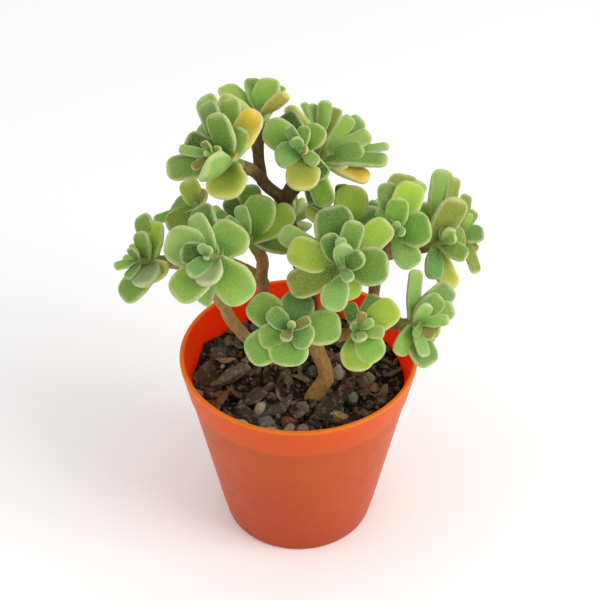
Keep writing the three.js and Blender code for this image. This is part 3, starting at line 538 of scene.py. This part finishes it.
# Making meshes.
def write_attribute(data, key, values):
    """Numbers or colours on a mesh's points."""
    if values.ndim == 1:
        layer = data.attributes.new(key, "FLOAT", "POINT")
        layer.data.foreach_set("value", values.astype(np.float32))
    else:
        layer = data.attributes.new(key, "FLOAT_COLOR", "POINT")
        four = np.column_stack([values, np.ones(len(values))])
        layer.data.foreach_set("color", four.astype(np.float32).ravel())


def make_object(name, points, faces, attributes, materials, face_materials=None):
    """A mesh from points in millimetres, with its attributes."""
    data = bpy.data.meshes.new(name)
    data.from_pydata((points * MM).tolist(), [], [face for part in faces for face in part.tolist()])
    if face_materials is not None:
        data.polygons.foreach_set("material_index", face_materials.astype(np.int32))
    data.shade_smooth()
    for key, values in attributes.items():
        write_attribute(data, key, values)
    for each in materials:
        data.materials.append(each)
    made = bpy.data.objects.new(name, data)
    bpy.context.scene.collection.objects.link(made)
    return made


class Heap:
    """Gathers many small meshes into one."""

    def __init__(self):
        self.points = []
        self.faces = {3: [], 4: []}
        self.materials = {3: [], 4: []}
        self.attributes = {}
        self.count = 0

    def add(self, points, faces, material=0, **attributes):
        for f in faces:
            self.faces[f.shape[1]].append(f + self.count)
            self.materials[f.shape[1]].append(np.full(len(f), material))
        for key, value in attributes.items():
            value = np.asarray(value, float)
            if value.ndim == 0 or value.shape == (3,):
                value = np.broadcast_to(value, (len(points), *value.shape))
            self.attributes.setdefault(key, []).append(value)
        self.points.append(points)
        self.count += len(points)

    def finish(self, name, materials):
        kinds = [k for k in (3, 4) if self.faces[k]]
        return make_object(
            name,
            np.vstack(self.points),
            [np.vstack(self.faces[k]) for k in kinds],
            {key: np.concatenate(values) for key, values in self.attributes.items()},
            materials,
            np.concatenate([np.concatenate(self.materials[k]) for k in kinds]),
        )


def tube_faces(rows, sides):
    """The faces of a closed skin of rings between two end points: the end points come last."""
    ring = np.arange(rows * sides).reshape(rows, sides)
    after = np.roll(ring, -1, axis=1)
    quads = np.stack([ring[:-1], after[:-1], after[1:], ring[1:]], axis=-1).reshape(-1, 4)
    foot, tip = rows * sides, rows * sides + 1
    low = np.column_stack([after[0], ring[0], np.full(sides, foot)])
    high = np.column_stack([ring[-1], after[-1], np.full(sides, tip)])
    return [quads, np.vstack([low, high])]


def tube(branch, t, sides):
    """The skin of a branch."""
    at = branch.at(t)
    line = units(np.gradient(at, axis=0))
    across = units(np.array([1, 0, 0]) - line * line[:, :1])
    other = np.cross(line, across)
    radius = mix(*branch.radii, t)[:, None, None]
    turn = turns_round(sides)[None, :, None]
    rings = at[:, None] + across[:, None] * np.cos(turn) * radius + other[:, None] * np.sin(turn) * radius
    ends = at[[0, -1]] + line[[0, -1]] * np.array([[-0.3], [0.3]])
    return np.vstack([rings.reshape(-1, 3), ends]), tube_faces(len(t), sides)


def with_modifier(made, kind, **settings):
    """Gives an object the mesh that a modifier leaves."""
    modifier = made.modifiers.new(kind.lower(), kind)
    for key, value in settings.items():
        setattr(modifier, key, value)
    bpy.context.view_layer.update()
    done = bpy.data.meshes.new_from_object(made.evaluated_get(bpy.context.evaluated_depsgraph_get()))
    made.modifiers.remove(modifier)
    old = made.data
    made.data = done
    bpy.data.meshes.remove(old)


def read_vectors(source, key):
    values = np.empty(len(source) * 3, np.float32)
    source.foreach_get(key, values)
    return values.reshape(-1, 3).astype(float)


def waves(points, size, seed):
    """Soft noise from -1 to 1 at each point, with features of a size in millimetres."""
    shift = Vector((seed * 7.1, seed * 3.3, seed * 5.7))
    return np.array([noise.noise(Vector(p) / size + shift) for p in points])


def nearest(points, centres):
    """How far the nearest centre is from each point, worked out a part of the points at a time."""
    away = np.empty(len(points))
    for i in range(0, len(points), 4000):
        gaps = ((points[i:i + 4000, None] - centres[None]) ** 2).sum(axis=2)
        away[i:i + 4000] = np.sqrt(gaps.min(axis=1))
    return away


def ico(level):
    """A ball of triangles: its points at a distance of 1, and its faces."""
    work = bmesh.new()
    bmesh.ops.create_icosphere(work, subdivisions=level, radius=1)
    points = np.array([v.co for v in work.verts])
    faces = np.array([[v.index for v in f.verts] for f in work.faces])
    work.free()
    return points, faces


BALLS = {level: ico(level) for level in (1, 2, 3, 4)}


# Leaves.
def fine_leaf(rosette, leaf, shape):
    """A leaf's skin, plump at its margin, with each point's place in it and how near the margin it is."""
    place = leaf_frame(rosette, leaf)
    a = (1 - np.cos(np.pi * np.arange(1, FINE.rows) / FINE.rows)) / 2
    turn = turns_round(FINE.sides)
    x = np.sign(np.cos(turn)) * np.abs(np.cos(turn)) ** FINE.margin
    y = np.sign(np.sin(turn)) * np.abs(np.sin(turn)) ** FINE.faces
    y = np.where(y > 0, FINE.above * y, FINE.below * y)
    tip_round = np.sqrt(1 - np.clip((a - FINE.tip) / (1 - FINE.tip), 0, 1) ** 2)
    root_round = np.sqrt(1 - np.clip((FINE.root - a) / FINE.root, 0, 1) ** 2)
    a2, x2 = (m.ravel() for m in np.meshgrid(a, x, indexing="ij"))
    y2 = np.outer(tip_round * root_round, y).ravel()
    a2, x2, y2 = np.append(a2, [0, 1]), np.append(x2, [0, 0]), np.append(y2, [0, 0])
    points = leaf_points(leaf, place, a2, x2, y2)
    wave = shape["wave"] * leaf.width * np.sin(a2 * shape["waves"] + shape["phase"]) * x2 * np.abs(x2)
    bend = shape["bend"] * leaf.length * a2 * a2
    dent = -shape["dent"] * leaf.thick * np.exp(-(x2 / DENT.width) ** 2)
    dent = dent * smooth(*DENT.starts, a2) * (1 - smooth(*DENT.ends, a2))
    rise = wave + np.where(y2 > 0, dent, 0)
    points = points + np.multiply.outer(rise, place[2]) + np.multiply.outer(bend, place[3])
    rim = np.maximum(smooth(*RIM.side, np.abs(x2)), smooth(*RIM.tip, a2))
    return points, tube_faces(FINE.rows - 1, FINE.sides), a2, x2, y2, rim


def add_hairs(heap, points, faces, rim, tint, random):
    """Short hairs on a leaf, most on its margin, each a slim spike with its foot in the skin."""
    quads, triangles = faces
    corners = np.vstack([quads[:, [0, 1, 2]], quads[:, [0, 2, 3]], triangles])
    a, b, c = points[corners[:, 0]], points[corners[:, 1]], points[corners[:, 2]]
    cross = np.cross(b - a, c - a)
    area = np.linalg.norm(cross, axis=1)
    edge = rim[corners].mean(axis=1)
    weight = area / 2 * mix(HAIRS.on_face, HAIRS.on_rim, edge)
    count = int(weight.sum())
    if not count:
        return
    pick = random.choice(len(corners), count, p=weight / weight.sum())
    u, v = random.random(count), random.random(count)
    flip = u + v > 1
    u, v = np.where(flip, 1 - u, u), np.where(flip, 1 - v, v)
    foot = a[pick] + (b - a)[pick] * u[:, None] + (c - a)[pick] * v[:, None]
    line = units(cross[pick] / area[pick][:, None] + random.normal(0, HAIRS.stray, (count, 3)))
    length = HAIRS.length * random.uniform(*HAIRS.vary, count)
    length = length * mix(HAIRS.on_face_length, 1, edge[pick])
    across = units(np.cross(line, random.normal(0, 1, (count, 3))))
    other = np.cross(line, across)
    spikes = np.empty((count, 4, 3))
    for i, turn in enumerate(turns_round(3)):
        side = across * math.cos(turn) + other * math.sin(turn)
        spikes[:, i] = foot - line * HAIRS.sunk + side * HAIRS.radius
    spikes[:, 3] = foot + line * length[:, None]
    first = np.arange(count)[:, None] * 4
    skin = np.vstack([first + f for f in ([0, 1, 3], [1, 2, 3], [2, 0, 3], [2, 1, 0])])
    tint = mix(tint, linear(HAIRS.colour), HAIRS.white)
    heap.add(spikes.reshape(-1, 3), [skin], 1, tint=tint, rim=1)


def leaf_colour(kind, leaf, random):
    """A leaf's own colour, and that of its middle: its kind, or green of many shades where it has none."""
    if kind is None:
        kind = random.choice(RULE_KINDS.old)
        if leaf.length < YOUNG_LENGTH:
            kind = random.choice(RULE_KINDS.young)
    tint = linear(LEAF_COLOURS[kind]) * random.uniform(*SHADE_DRAWS.whole)
    tint = np.clip(tint * random.uniform(*SHADE_DRAWS.each, 3), 0, 1)
    return tint, mix(tint, linear(AGED.middle), AGED.kinds.get(kind, 0))


def paint_leaf(outer, inner, a, x, y):
    """Deeper green to the root as painted shade, lighter to the tip and margins partly as painted light;
    paler below.
    """
    # Painted shade at the root, where the leaves shade each other near the core.
    root = inner * np.array(SHADES.root)
    middle = inner * np.array(SHADES.middle)
    tip = outer * np.array(SHADES.tip)
    tint = mix(root, middle, smooth(0.12, 0.66, a)[:, None])
    # The lighter tip and margins: partly the leaf's own pale margin, partly painted light.
    tint = mix(tint, tip, np.maximum(smooth(0.66, 1, a), 0.85 * smooth(0.4, 1, np.abs(x)))[:, None])
    tint = mix(tint, mix(outer, linear((150, 168, 104)), 0.35), (0.6 * (y < -0.2))[:, None])
    return mix(tint, linear((150, 164, 92)), (0.3 * (1 - smooth(0, 0.16, a)))[:, None])


def make_rosette(name, rosette, materials, seed):
    """All leaves of a rosette with their hairs, and its core."""
    random = np.random.default_rng(seed)
    heap = Heap()
    kinds = dict(enumerate(rosette.kinds))
    for leaf in rosette.leaves:
        shape = {key: random.uniform(*ends) for key, ends in LEAF_DRAWS.items()}
        points, faces, a, x, y, rim = fine_leaf(rosette, leaf, shape)
        outer, inner = leaf_colour(kinds.get(leaf.place), leaf, random)
        heap.add(points, faces, tint=paint_leaf(outer, inner, a, x, y), rim=rim)
        add_hairs(heap, points, faces, rim, outer, random)
    top = rosette.base + rosette.line * (rosette.core - 1)
    core = straight(rosette.base, top, (CORE.foot, CORE.top))
    heap.add(*tube(core, np.linspace(0, 1, 9), 12), tint=linear((120, 128, 70)), rim=0)
    made = heap.finish("leaves_" + name, materials)
    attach(made, "root")
    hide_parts("rosette_" + name)


# Stems.
def count_rosettes(stem):
    return sum(FORKS[rosette[0]][0] == stem for rosette in ROSETTES.values())


def make_stem(name, branches, material, seed):
    """A stem in one skin, with bark and leaf scars."""
    heap = Heap()
    scars = []
    random = np.random.default_rng(seed)
    for order, branch in enumerate(branches):
        t = np.linspace(0, 1, max(6, int(branch.length / 1.5)))
        heap.add(*tube(branch, t, 14))
        if order:
            points, faces = BALLS[2]
            heap.add(points * (branch.radii[0] * 1.1) + branch.corners[0], [faces])
        count = int(branch.length / SCARS.apart)
        t = (np.arange(count) + random.random(count) * 0.5) / max(count, 1)
        if count > 2:
            rings = tube(branch, t, SCARS.sides)[0][:-2].reshape(count, SCARS.sides, 3)
            turns = (np.arange(count) * SCARS.step + random.integers(0, 3, count)) % SCARS.sides
            scars.append(rings[np.arange(count), turns])
    made = heap.finish("bark_" + name, [material])
    with_modifier(made, "REMESH", mode="VOXEL", voxel_size=STEM_VOXEL * MM, use_smooth_shade=True)
    with_modifier(made, "SMOOTH", factor=0.6, iterations=4)
    points = read_vectors(made.data.vertices, "co") / MM
    normals = read_vectors(made.data.vertex_normals, "vector")
    away = nearest(points, np.vstack(scars))
    depth, width = SCARS.dent
    edge, edge_away, edge_width = SCARS.edge
    dent = -depth * np.exp(-(away / width) ** 2) + edge * np.exp(-((away - edge_away) / edge_width) ** 2)
    bark = waves(points * np.array([1, 1, BARK.stretch]), BARK.fine, seed) * BARK.fine_height
    bark = bark + waves(points, BARK.coarse, seed + 1) * BARK.coarse_height
    above = points[:, 2] - SOIL_LEVEL
    flare = FLARE.size * np.exp(-np.clip(above, 0, None) / FLARE.height) * (above > -FLARE.below)
    moved = (points + normals * (dent + bark + flare)[:, None]) * MM
    made.data.vertices.foreach_set("co", moved.astype(np.float32).ravel())
    made.data.update()
    ends = np.array([branch.corners[-1] for branch in branches[-count_rosettes(name):]])
    skin = linear(STEM_SKINS[name])
    young = mix(skin, linear((136, 128, 78)), 0.45)
    old = mix(skin, linear((150, 124, 92)), (0.3 * np.clip(waves(points, 9, seed + 2) + 0.3, 0, 1))[:, None])
    tint = mix(young, old, smooth(2, 10, nearest(points, ends))[:, None])
    write_attribute(made.data, "tint", tint * mix(0.72, 1, smooth(0.2, 0.9, away))[:, None])
    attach(made, "root")
    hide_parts("stem_" + name)


# Soil.
def soil_height(x, y):
    return SOIL_LEVEL + sum(size * np.sin(i * x + j * y + 9 * i) for i, j, size in SOIL_WAVES)


def pot_radius(z):
    return mix(POT.foot_radius, POT.rim_radius - POT.band_step, z / POT.height)


def inner_radius(z):
    return pot_radius(z) - POT.wall


SOIL_RIM = inner_radius(SOIL_LEVEL) - SOIL_GAP
STEM_FEET = np.array([stem.foot for stem in STEMS.values()], float)


def ring(radius, height, turns):
    """Points round the upright axis."""
    points = [radius * np.cos(turns), radius * np.sin(turns), np.full(len(turns), float(height))]
    return np.column_stack(points)


def rotation(tilt, turn, random):
    """A random tilt up to a limit, then a turn about the upright."""
    made = np.eye(3)
    for axis, angle in enumerate([*random.uniform(-tilt, tilt, 2), turn]):
        i, j = (axis + 1) % 3, (axis + 2) % 3
        step = np.eye(3)
        step[i, i] = step[j, j] = math.cos(angle)
        step[j, i] = math.sin(angle)
        step[i, j] = -step[j, i]
        made = step @ made
    return made


def plane_cut(points, random, low, high):
    """Flattens what stands past a random plane."""
    normal = unit(random.normal(0, 1, 3))
    past = np.clip(points @ normal - random.uniform(low, high), 0, None)
    return points - PRESSED * past[:, None] * normal


def make_chunk(kind, size, level, random):
    """The points of a stone, a flake of bark or a crumb, round the origin."""
    points = BALLS[level][0]
    rule = KINDS[kind]
    seed = random.uniform(0, 50)
    if kind == "bark":
        points = points * (1 + 0.3 * waves(points, 0.7, seed))[:, None]
    for _ in range(rule.planes):
        points = plane_cut(points, random, *rule.near)
    width, height = random.uniform(*rule.width), random.uniform(*rule.height)
    points = points * np.array([rule.length, width, height])
    if kind == "bark":
        curl, twist = random.uniform(-0.5, 0.5), random.uniform(-0.4, 0.4)
        points[:, 2] += curl * points[:, 0] ** 2 + twist * points[:, 0] * points[:, 1]
        points[:, 2] += 0.035 * np.sin(points[:, 1] * random.uniform(14, 22) + seed)
        points[:, 2] += 0.05 * waves(points * np.array([0.5, 1, 1]), 0.25, seed + 3)
    else:
        points = points * (1 + 0.08 * waves(points, 0.4, seed))[:, None]
    return points * size


def add_chunk(heap, x, y, size, kind, colour, level, random, raised=0):
    """Lays a chunk on the soil, inside the pot's wall."""
    points = make_chunk(kind, size, level, random)
    points = points @ rotation(KINDS[kind].tilt, random.uniform(0, 2 * math.pi), random).T
    lift = size * random.uniform(*LAID.lift)
    points = points + np.array([x, y, soil_height(x, y) + lift - LAID.sunk + raised])
    away = np.hypot(points[:, 0], points[:, 1])
    points[:, :2] *= np.minimum(1, (inner_radius(points[:, 2]) - LAID.wall_gap) / away)[:, None]
    shade = 1 + 0.25 * waves(points, 1.5, random.uniform(0, 50))
    heap.add(points, [BALLS[level][1]], tint=linear(colour) * shade[:, None])


def find_place(size, placed, random):
    """A place on the soil, clear of the stems and of what is placed, or None after some tries."""
    for _ in range(NEAR.tries):
        away = (SOIL_RIM - size) * math.sqrt(random.random())
        side = random.uniform(0, 2 * math.pi)
        x, y = away * math.cos(side), away * math.sin(side)
        clear_stems = np.hypot(*(STEM_FEET - (x, y)).T).min() > NEAR.stem + size * NEAR.share
        if clear_stems and all(math.hypot(x - a, y - b) > NEAR.chunks * (size + c) for a, b, c in placed):
            return x, y
    return None


def draw_colour(kind, random):
    shades = KINDS[kind].colours
    colour = np.array(shades[random.integers(len(shades))]) * random.uniform(0.8, 1.15)
    return np.clip(colour, 0, 255)


def make_soil(material):
    """The mix: a dark body, partly painted shade in the gaps between chunks, with stones, flakes of bark and
    crumbs on it.
    """
    random = np.random.default_rng(31)
    heap = Heap()
    sides = 120
    turns = turns_round(sides)
    floor = POT.floor + SOIL_GAP
    grid = [ring((inner_radius(floor) - 2.1) * k, floor, turns) for k in (0.3, 0.7, 1)]
    grid += [ring(inner_radius(z) - SOIL_GAP, z, turns) for z in np.linspace(floor + 2, SOIL_LEVEL - 1, 6)]
    for r in np.linspace(SOIL_RIM, 0.6, 46):
        row = ring(r, 0, turns)
        row[:, 2] = soil_height(row[:, 0], row[:, 1]) - 0.6
        row[:, 2] += waves(row, 1.3, 4) * 0.7 + waves(row, 3.1, 5) * 0.8
        row[:, :2] *= np.minimum(1, (inner_radius(row[:, 2]) - SOIL_GAP) / r)[:, None]
        grid.append(row)
    ends = np.array([[0, 0, floor], [0, 0, soil_height(0, 0) - 0.6]])
    # The body's near-black colour is partly the mix's own, partly painted shade in the gaps between chunks.
    heap.add(np.vstack(grid + [ends]), tube_faces(len(grid), sides), tint=linear((40, 33, 28)))
    for x, y, size, kind, colour in CHUNKS:
        add_chunk(heap, x, y, size, kind, colour, 4, random, 1 if kind == "stone" else 0)
    placed = [(x, y, size) for x, y, size, _, _ in CHUNKS]
    for _ in range(STREWN.count):
        size = random.uniform(*STREWN.size)
        place = find_place(size, placed, random)
        if place:
            placed.append((*place, size))
            kind = random.choice(STREWN.kinds)
            add_chunk(heap, *place, size, kind, draw_colour(kind, random), 3, random)
    for _ in range(CRUMBS.count):
        size = random.uniform(*CRUMBS.size)
        place = find_place(size, [], random)
        if place:
            colour = draw_colour("crumb", random)
            if random.random() < CRUMBS.pale:
                colour = CRUMBS.pale_colour
            add_chunk(heap, *place, size, "crumb", colour, 1, random)
    made = heap.finish("potting_mix", [material])
    made.data.set_sharp_from_angle(angle=math.radians(45))
    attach(made, "root")
    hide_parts("soil")


# Pot.
def rounded(corners, steps=5):
    """A line through corners of radius, height and fillet, each corner rounded."""
    line = [corners[0][:2]]
    for before, corner, after in zip(corners, corners[1:], corners[2:]):
        p = np.array(corner[:2], float)
        u = unit(np.array(before[:2]) - p)
        v = unit(np.array(after[:2]) - p)
        reach = corner[2] / math.tan(math.acos(np.clip(u.dot(v), -1, 1)) / 2)
        for t in np.linspace(0, 1, steps):
            line.append((1 - t) ** 2 * (p + u * reach) + 2 * t * (1 - t) * p + t * t * (p + v * reach))
    line.append(corners[-1][:2])
    return np.array(line, float)


def make_pot(material):
    """The moulded pot, with its band, its rounded lip and its drain holes."""
    height, floor, rim = POT.height, POT.floor, POT.rim_radius
    band = height - POT.band_height
    lip = height - POT.lip_height
    inside = height - 4
    step = RING.height - RING.slope
    line = rounded([
        (MIDDLE, 0, 0), (POT.foot_radius - 0.1, 0, 1.5), (pot_radius(step), step, 0.3),
        (pot_radius(RING.height) + RING.step, RING.height, 0.3),
        (pot_radius(band) + 0.1, band, 0.25), (pot_radius(band) + POT.band_step, band + 0.5, 0.35),
        (rim, height, 0.85), (rim - POT.lip_width, height, 0.85), (inner_radius(lip), lip - 0.4, 0.4),
        (inner_radius(inside), inside, 0.3), (inner_radius(floor), floor, 1.4), (MIDDLE, floor, 0),
    ])
    rings = [ring(r, z, turns_round(POT_SIDES)) for r, z in line]
    points = np.vstack([*rings, [[0, 0, 0], [0, 0, floor]]])
    # Painted light: the inner wall and floor are marked for a bright red that stands for light coming
    # through the thin wall.
    painted_glow = np.arange(len(line)) > line[:, 1].argmax() + 4
    painted_glow = np.append(np.repeat(painted_glow, POT_SIDES), [0, 1])
    made = make_object("nursery_pot", points, tube_faces(len(line), POT_SIDES), {"painted_glow": painted_glow}, [material])
    drills = Heap()
    for side in turns_round(POT.drains):
        centre = np.array([math.cos(side), math.sin(side), 0]) * POT.drain_circle
        drill = straight(centre - UP * 3, centre + UP * 6, (POT.drain_radius,) * 2)
        drills.add(*tube(drill, np.linspace(0, 1, 2), 32))
    cutter = drills.finish("drills", [])
    with_modifier(made, "BOOLEAN", operation="DIFFERENCE", object=cutter)
    bpy.data.objects.remove(cutter)
    made.data.shade_smooth()
    made.data.set_sharp_from_angle(angle=math.radians(50))
    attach(made, "root")
    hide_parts("pot")


# Materials.
def rgba(colour):
    return (*linear(colour), 1)


class Look:
    """A material in the making: nodes for its colour, its roughness and its bumps."""

    def __init__(self, name, **sockets):
        self.material = bpy.data.materials.new(name)
        self.material.use_nodes = True
        self.tree = self.material.node_tree
        self.shader = self.tree.nodes["Principled BSDF"]
        for key, value in sockets.items():
            self.shader.inputs[key.replace("_", " ")].default_value = value

    def node(self, kind, inputs, output=0, **settings):
        """The output of a node whose inputs are set or joined."""
        made = self.tree.nodes.new(kind)
        for key, value in settings.items():
            setattr(made, key, value)
        for key, value in inputs.items():
            if isinstance(value, bpy.types.NodeSocket):
                self.tree.links.new(value, made.inputs[key])
            else:
                made.inputs[key].default_value = value
        return made.outputs[output]

    def attribute(self, name, output="Color"):
        return self.node("ShaderNodeAttribute", {}, output, attribute_name=name)

    def place(self):
        return self.node("ShaderNodeTexCoord", {}, "Object")

    def grain(self, scale, detail=2, stretch=(1, 1, 1)):
        """Noise from 0 to 1 over the object, at a scale per metre."""
        place = self.node("ShaderNodeMapping", {"Vector": self.place(), "Scale": stretch})
        return self.node("ShaderNodeTexNoise", {"Vector": place, "Scale": scale, "Detail": detail}, "Fac")

    def spread(self, value, low, high, start=0.25, end=0.75):
        """Maps the part of a value from start to end, as noise has, to a range."""
        ends = {"From Min": start, "From Max": end, "To Min": low, "To Max": high}
        return self.node("ShaderNodeMapRange", {"Value": value, **ends})

    def blend(self, share, a, b, kind="MIX"):
        return self.node("ShaderNodeMix", {0: share, 6: a, 7: b}, 2, data_type="RGBA", blend_type=kind)

    def times(self, tint, factors):
        return self.blend(1, tint, (*factors, 1), "MULTIPLY")

    def finish(self, tint, rough, *bumps):
        """Joins a colour, a roughness or None, and bumps of noise and of a height in metres."""
        self.tree.links.new(tint, self.shader.inputs["Base Color"])
        if rough:
            self.tree.links.new(rough, self.shader.inputs["Roughness"])
        normal = {}
        for height, distance in bumps:
            inputs = {"Height": height, "Distance": distance, "Strength": 1, **normal}
            normal = {"Normal": self.node("ShaderNodeBump", inputs)}
        self.tree.links.new(normal["Normal"], self.shader.inputs["Normal"])
        return self.material


def leaf_material():
    look = Look(
        "leaf_velvet", Sheen_Weight=0.12, Sheen_Roughness=0.4, Sheen_Tint=rgba((222, 236, 200)),
        Subsurface_Weight=0.12, Subsurface_Radius=(0.5, 1, 0.2), Subsurface_Scale=0.0012,
        Specular_IOR_Level=0.2)
    tint = look.attribute("tint")
    patches = look.spread(look.grain(170), 0, 1)
    tint = look.blend(patches, look.times(tint, (0.8, 0.88, 0.72)), tint)
    warm = look.spread(look.grain(75), 0, 0.7, 0.42, 0.7)
    tint = look.blend(warm, tint, look.times(tint, (1.25, 1.05, 0.5)))
    speckle = look.spread(look.grain(2600, 3), 0, 0.34, 0.45, 0.75)
    tint = look.blend(speckle, tint, rgba((186, 206, 150)))
    # The pale cream margin is partly the leaf's own pale fringe, partly painted sheen along the rim.
    uneven = look.spread(look.grain(700), 0.4, 0.8)
    rim = look.node("ShaderNodeMath", {0: look.attribute("rim", "Fac"), 1: uneven}, operation="MULTIPLY")
    tint = look.blend(rim, tint, rgba((208, 216, 150)))
    rough = look.spread(look.grain(900), 0.55, 0.75)
    return look.finish(tint, rough, (look.grain(300), 0.0003), (look.grain(3500, 3), 0.00012))


def hair_material():
    look = Look("leaf_hair", Roughness=0.6, Sheen_Weight=0.3, Specular_IOR_Level=0.3)
    share = look.spread(look.grain(400), 0.2, 0.8)
    tint = look.blend(share, look.attribute("tint"), rgba((234, 238, 208)))
    return look.finish(tint, None, (look.grain(6000), 0.00002))


def stem_material():
    look = Look("stem_bark", Specular_IOR_Level=0.3)
    fibres = look.spread(look.grain(900, 4, (1, 1, 0.25)), 0, 1)
    tint = look.attribute("tint")
    tint = look.blend(fibres, look.times(tint, (0.6, 0.56, 0.5)), tint)
    patches = look.spread(look.grain(260, 3), 0, 0.5, 0.5, 0.75)
    tint = look.blend(patches, tint, look.times(tint, (1.7, 1.7, 1.8)))
    rough = look.spread(look.grain(600), 0.6, 0.85)
    return look.finish(tint, rough, (look.grain(1400, 4, (1, 1, 0.3)), 0.0003))


def soil_material():
    look = Look("potting_mix", Specular_IOR_Level=0.25)
    specks = look.spread(look.grain(900, 5), 0, 1)
    tint = look.attribute("tint")
    tint = look.blend(specks, look.times(tint, (0.58, 0.55, 0.5)), tint)
    dust = look.spread(look.grain(500, 4), 0, 0.45, 0.52, 0.72)
    tint = look.blend(dust, tint, rgba((176, 158, 130)))
    rough = look.spread(look.grain(500), 0.7, 0.95)
    return look.finish(tint, rough, (look.grain(700, 4), 0.0005), (look.grain(3000, 3), 0.0002))


def pot_material():
    look = Look(
        "moulded_plastic", Specular_IOR_Level=0.2, Subsurface_Weight=0.8,
        Subsurface_Radius=(1, 0.25, 0.03), Subsurface_Scale=0.012)
    tint = look.blend(look.spread(look.grain(35, 4), 0, 1), rgba((200, 70, 6)), rgba((208, 78, 9)))
    height = look.node("ShaderNodeSeparateXYZ", {"Vector": look.place()}, "Z")
    top = POT.height * MM
    # Painted shade: darker red towards the bottom of the pot.
    tint = look.blend(look.spread(height, 0, 1, 0, 0.05), rgba((184, 60, 5)), tint)
    # Painted light: a lighter red on the band above its step.
    tint = look.blend(look.spread(height, 0, 1, top - 0.0144, top - 0.0136), tint, rgba((214, 81, 9)))
    # Painted highlight: a thin bright orange line on the lip, for light through the thin plastic.
    tint = look.blend(look.spread(height, 0, 1, top - 0.0012, top - 0.0007), tint, rgba((222, 114, 26)))
    # Painted light on the inner wall and floor: a bright red for light that comes through the thin wall.
    tint = look.blend(look.attribute("painted_glow", "Fac"), tint, rgba((255, 72, 2)))
    dust = look.spread(look.grain(420, 5), 0, 0.04, 0.5, 0.75)
    tint = look.blend(dust, tint, rgba((226, 160, 128)))
    rough = look.spread(look.grain(160, 3), 0.38, 0.5)
    return look.finish(tint, rough, (look.grain(60, 2), 0.0002), (look.grain(2600, 2), 0.00002))


# Stage, in metres and watts.
FLOOR = 3
WORLD_LIGHT = 0.78
LIGHTS = {
    "key": Values(place=(0.9, -0.42, 0.72), size=0.7, power=7.2),
    "fill": Values(place=(-0.7, -0.2, 0.6), size=0.6, power=0.9),
}
AIM = Vector((0, 0, 0.1))
CAMERA = Values(place=(0.0005, -0.4265, 0.441), down=38.43, sensor=36, lens=89.3)


def make_stage():
    """A white floor under soft studio light, and the camera at the photograph's angle."""
    scene = bpy.context.scene
    scene.view_settings.view_transform = "Standard"
    corners = np.array([[-1, -1, 0], [1, -1, 0], [1, 1, 0], [-1, 1, 0]]) * FLOOR / MM
    white = Look("floor", Base_Color=(1, 1, 1, 1), Roughness=0.9).material
    floor = make_object("floor", corners, [np.array([[0, 1, 2, 3]])], {}, [white])
    world = bpy.data.worlds.new("studio")
    world.use_nodes = True
    world.node_tree.nodes["Background"].inputs["Color"].default_value = (1, 1, 1, 1)
    world.node_tree.nodes["Background"].inputs["Strength"].default_value = WORLD_LIGHT
    scene.world = world
    for name, rule in LIGHTS.items():
        data = bpy.data.lights.new(name, "AREA")
        data.size = rule.size
        data.energy = rule.power
        light = bpy.data.objects.new(name, data)
        light.location = rule.place
        light.rotation_euler = (AIM - light.location).to_track_quat("-Z", "Y").to_euler()
        scene.collection.objects.link(light)
    data = bpy.data.cameras.new("camera")
    data.sensor_width = CAMERA.sensor
    data.lens = CAMERA.lens
    camera = bpy.data.objects.new("camera", data)
    camera.location = CAMERA.place
    camera.rotation_euler = (math.radians(90 - CAMERA.down), 0, 0)
    scene.collection.objects.link(camera)
    scene.camera = camera


make_stage()
rosettes, branches = grow()
bark = stem_material()
for seed, (name, each) in enumerate(branches.items()):
    make_stem(name, each, bark, seed)
leaf_looks = [leaf_material(), hair_material()]
for seed, (name, rosette) in enumerate(rosettes.items()):
    make_rosette(name, rosette, leaf_looks, 100 + seed)
make_soil(soil_material())
make_pot(pot_material())
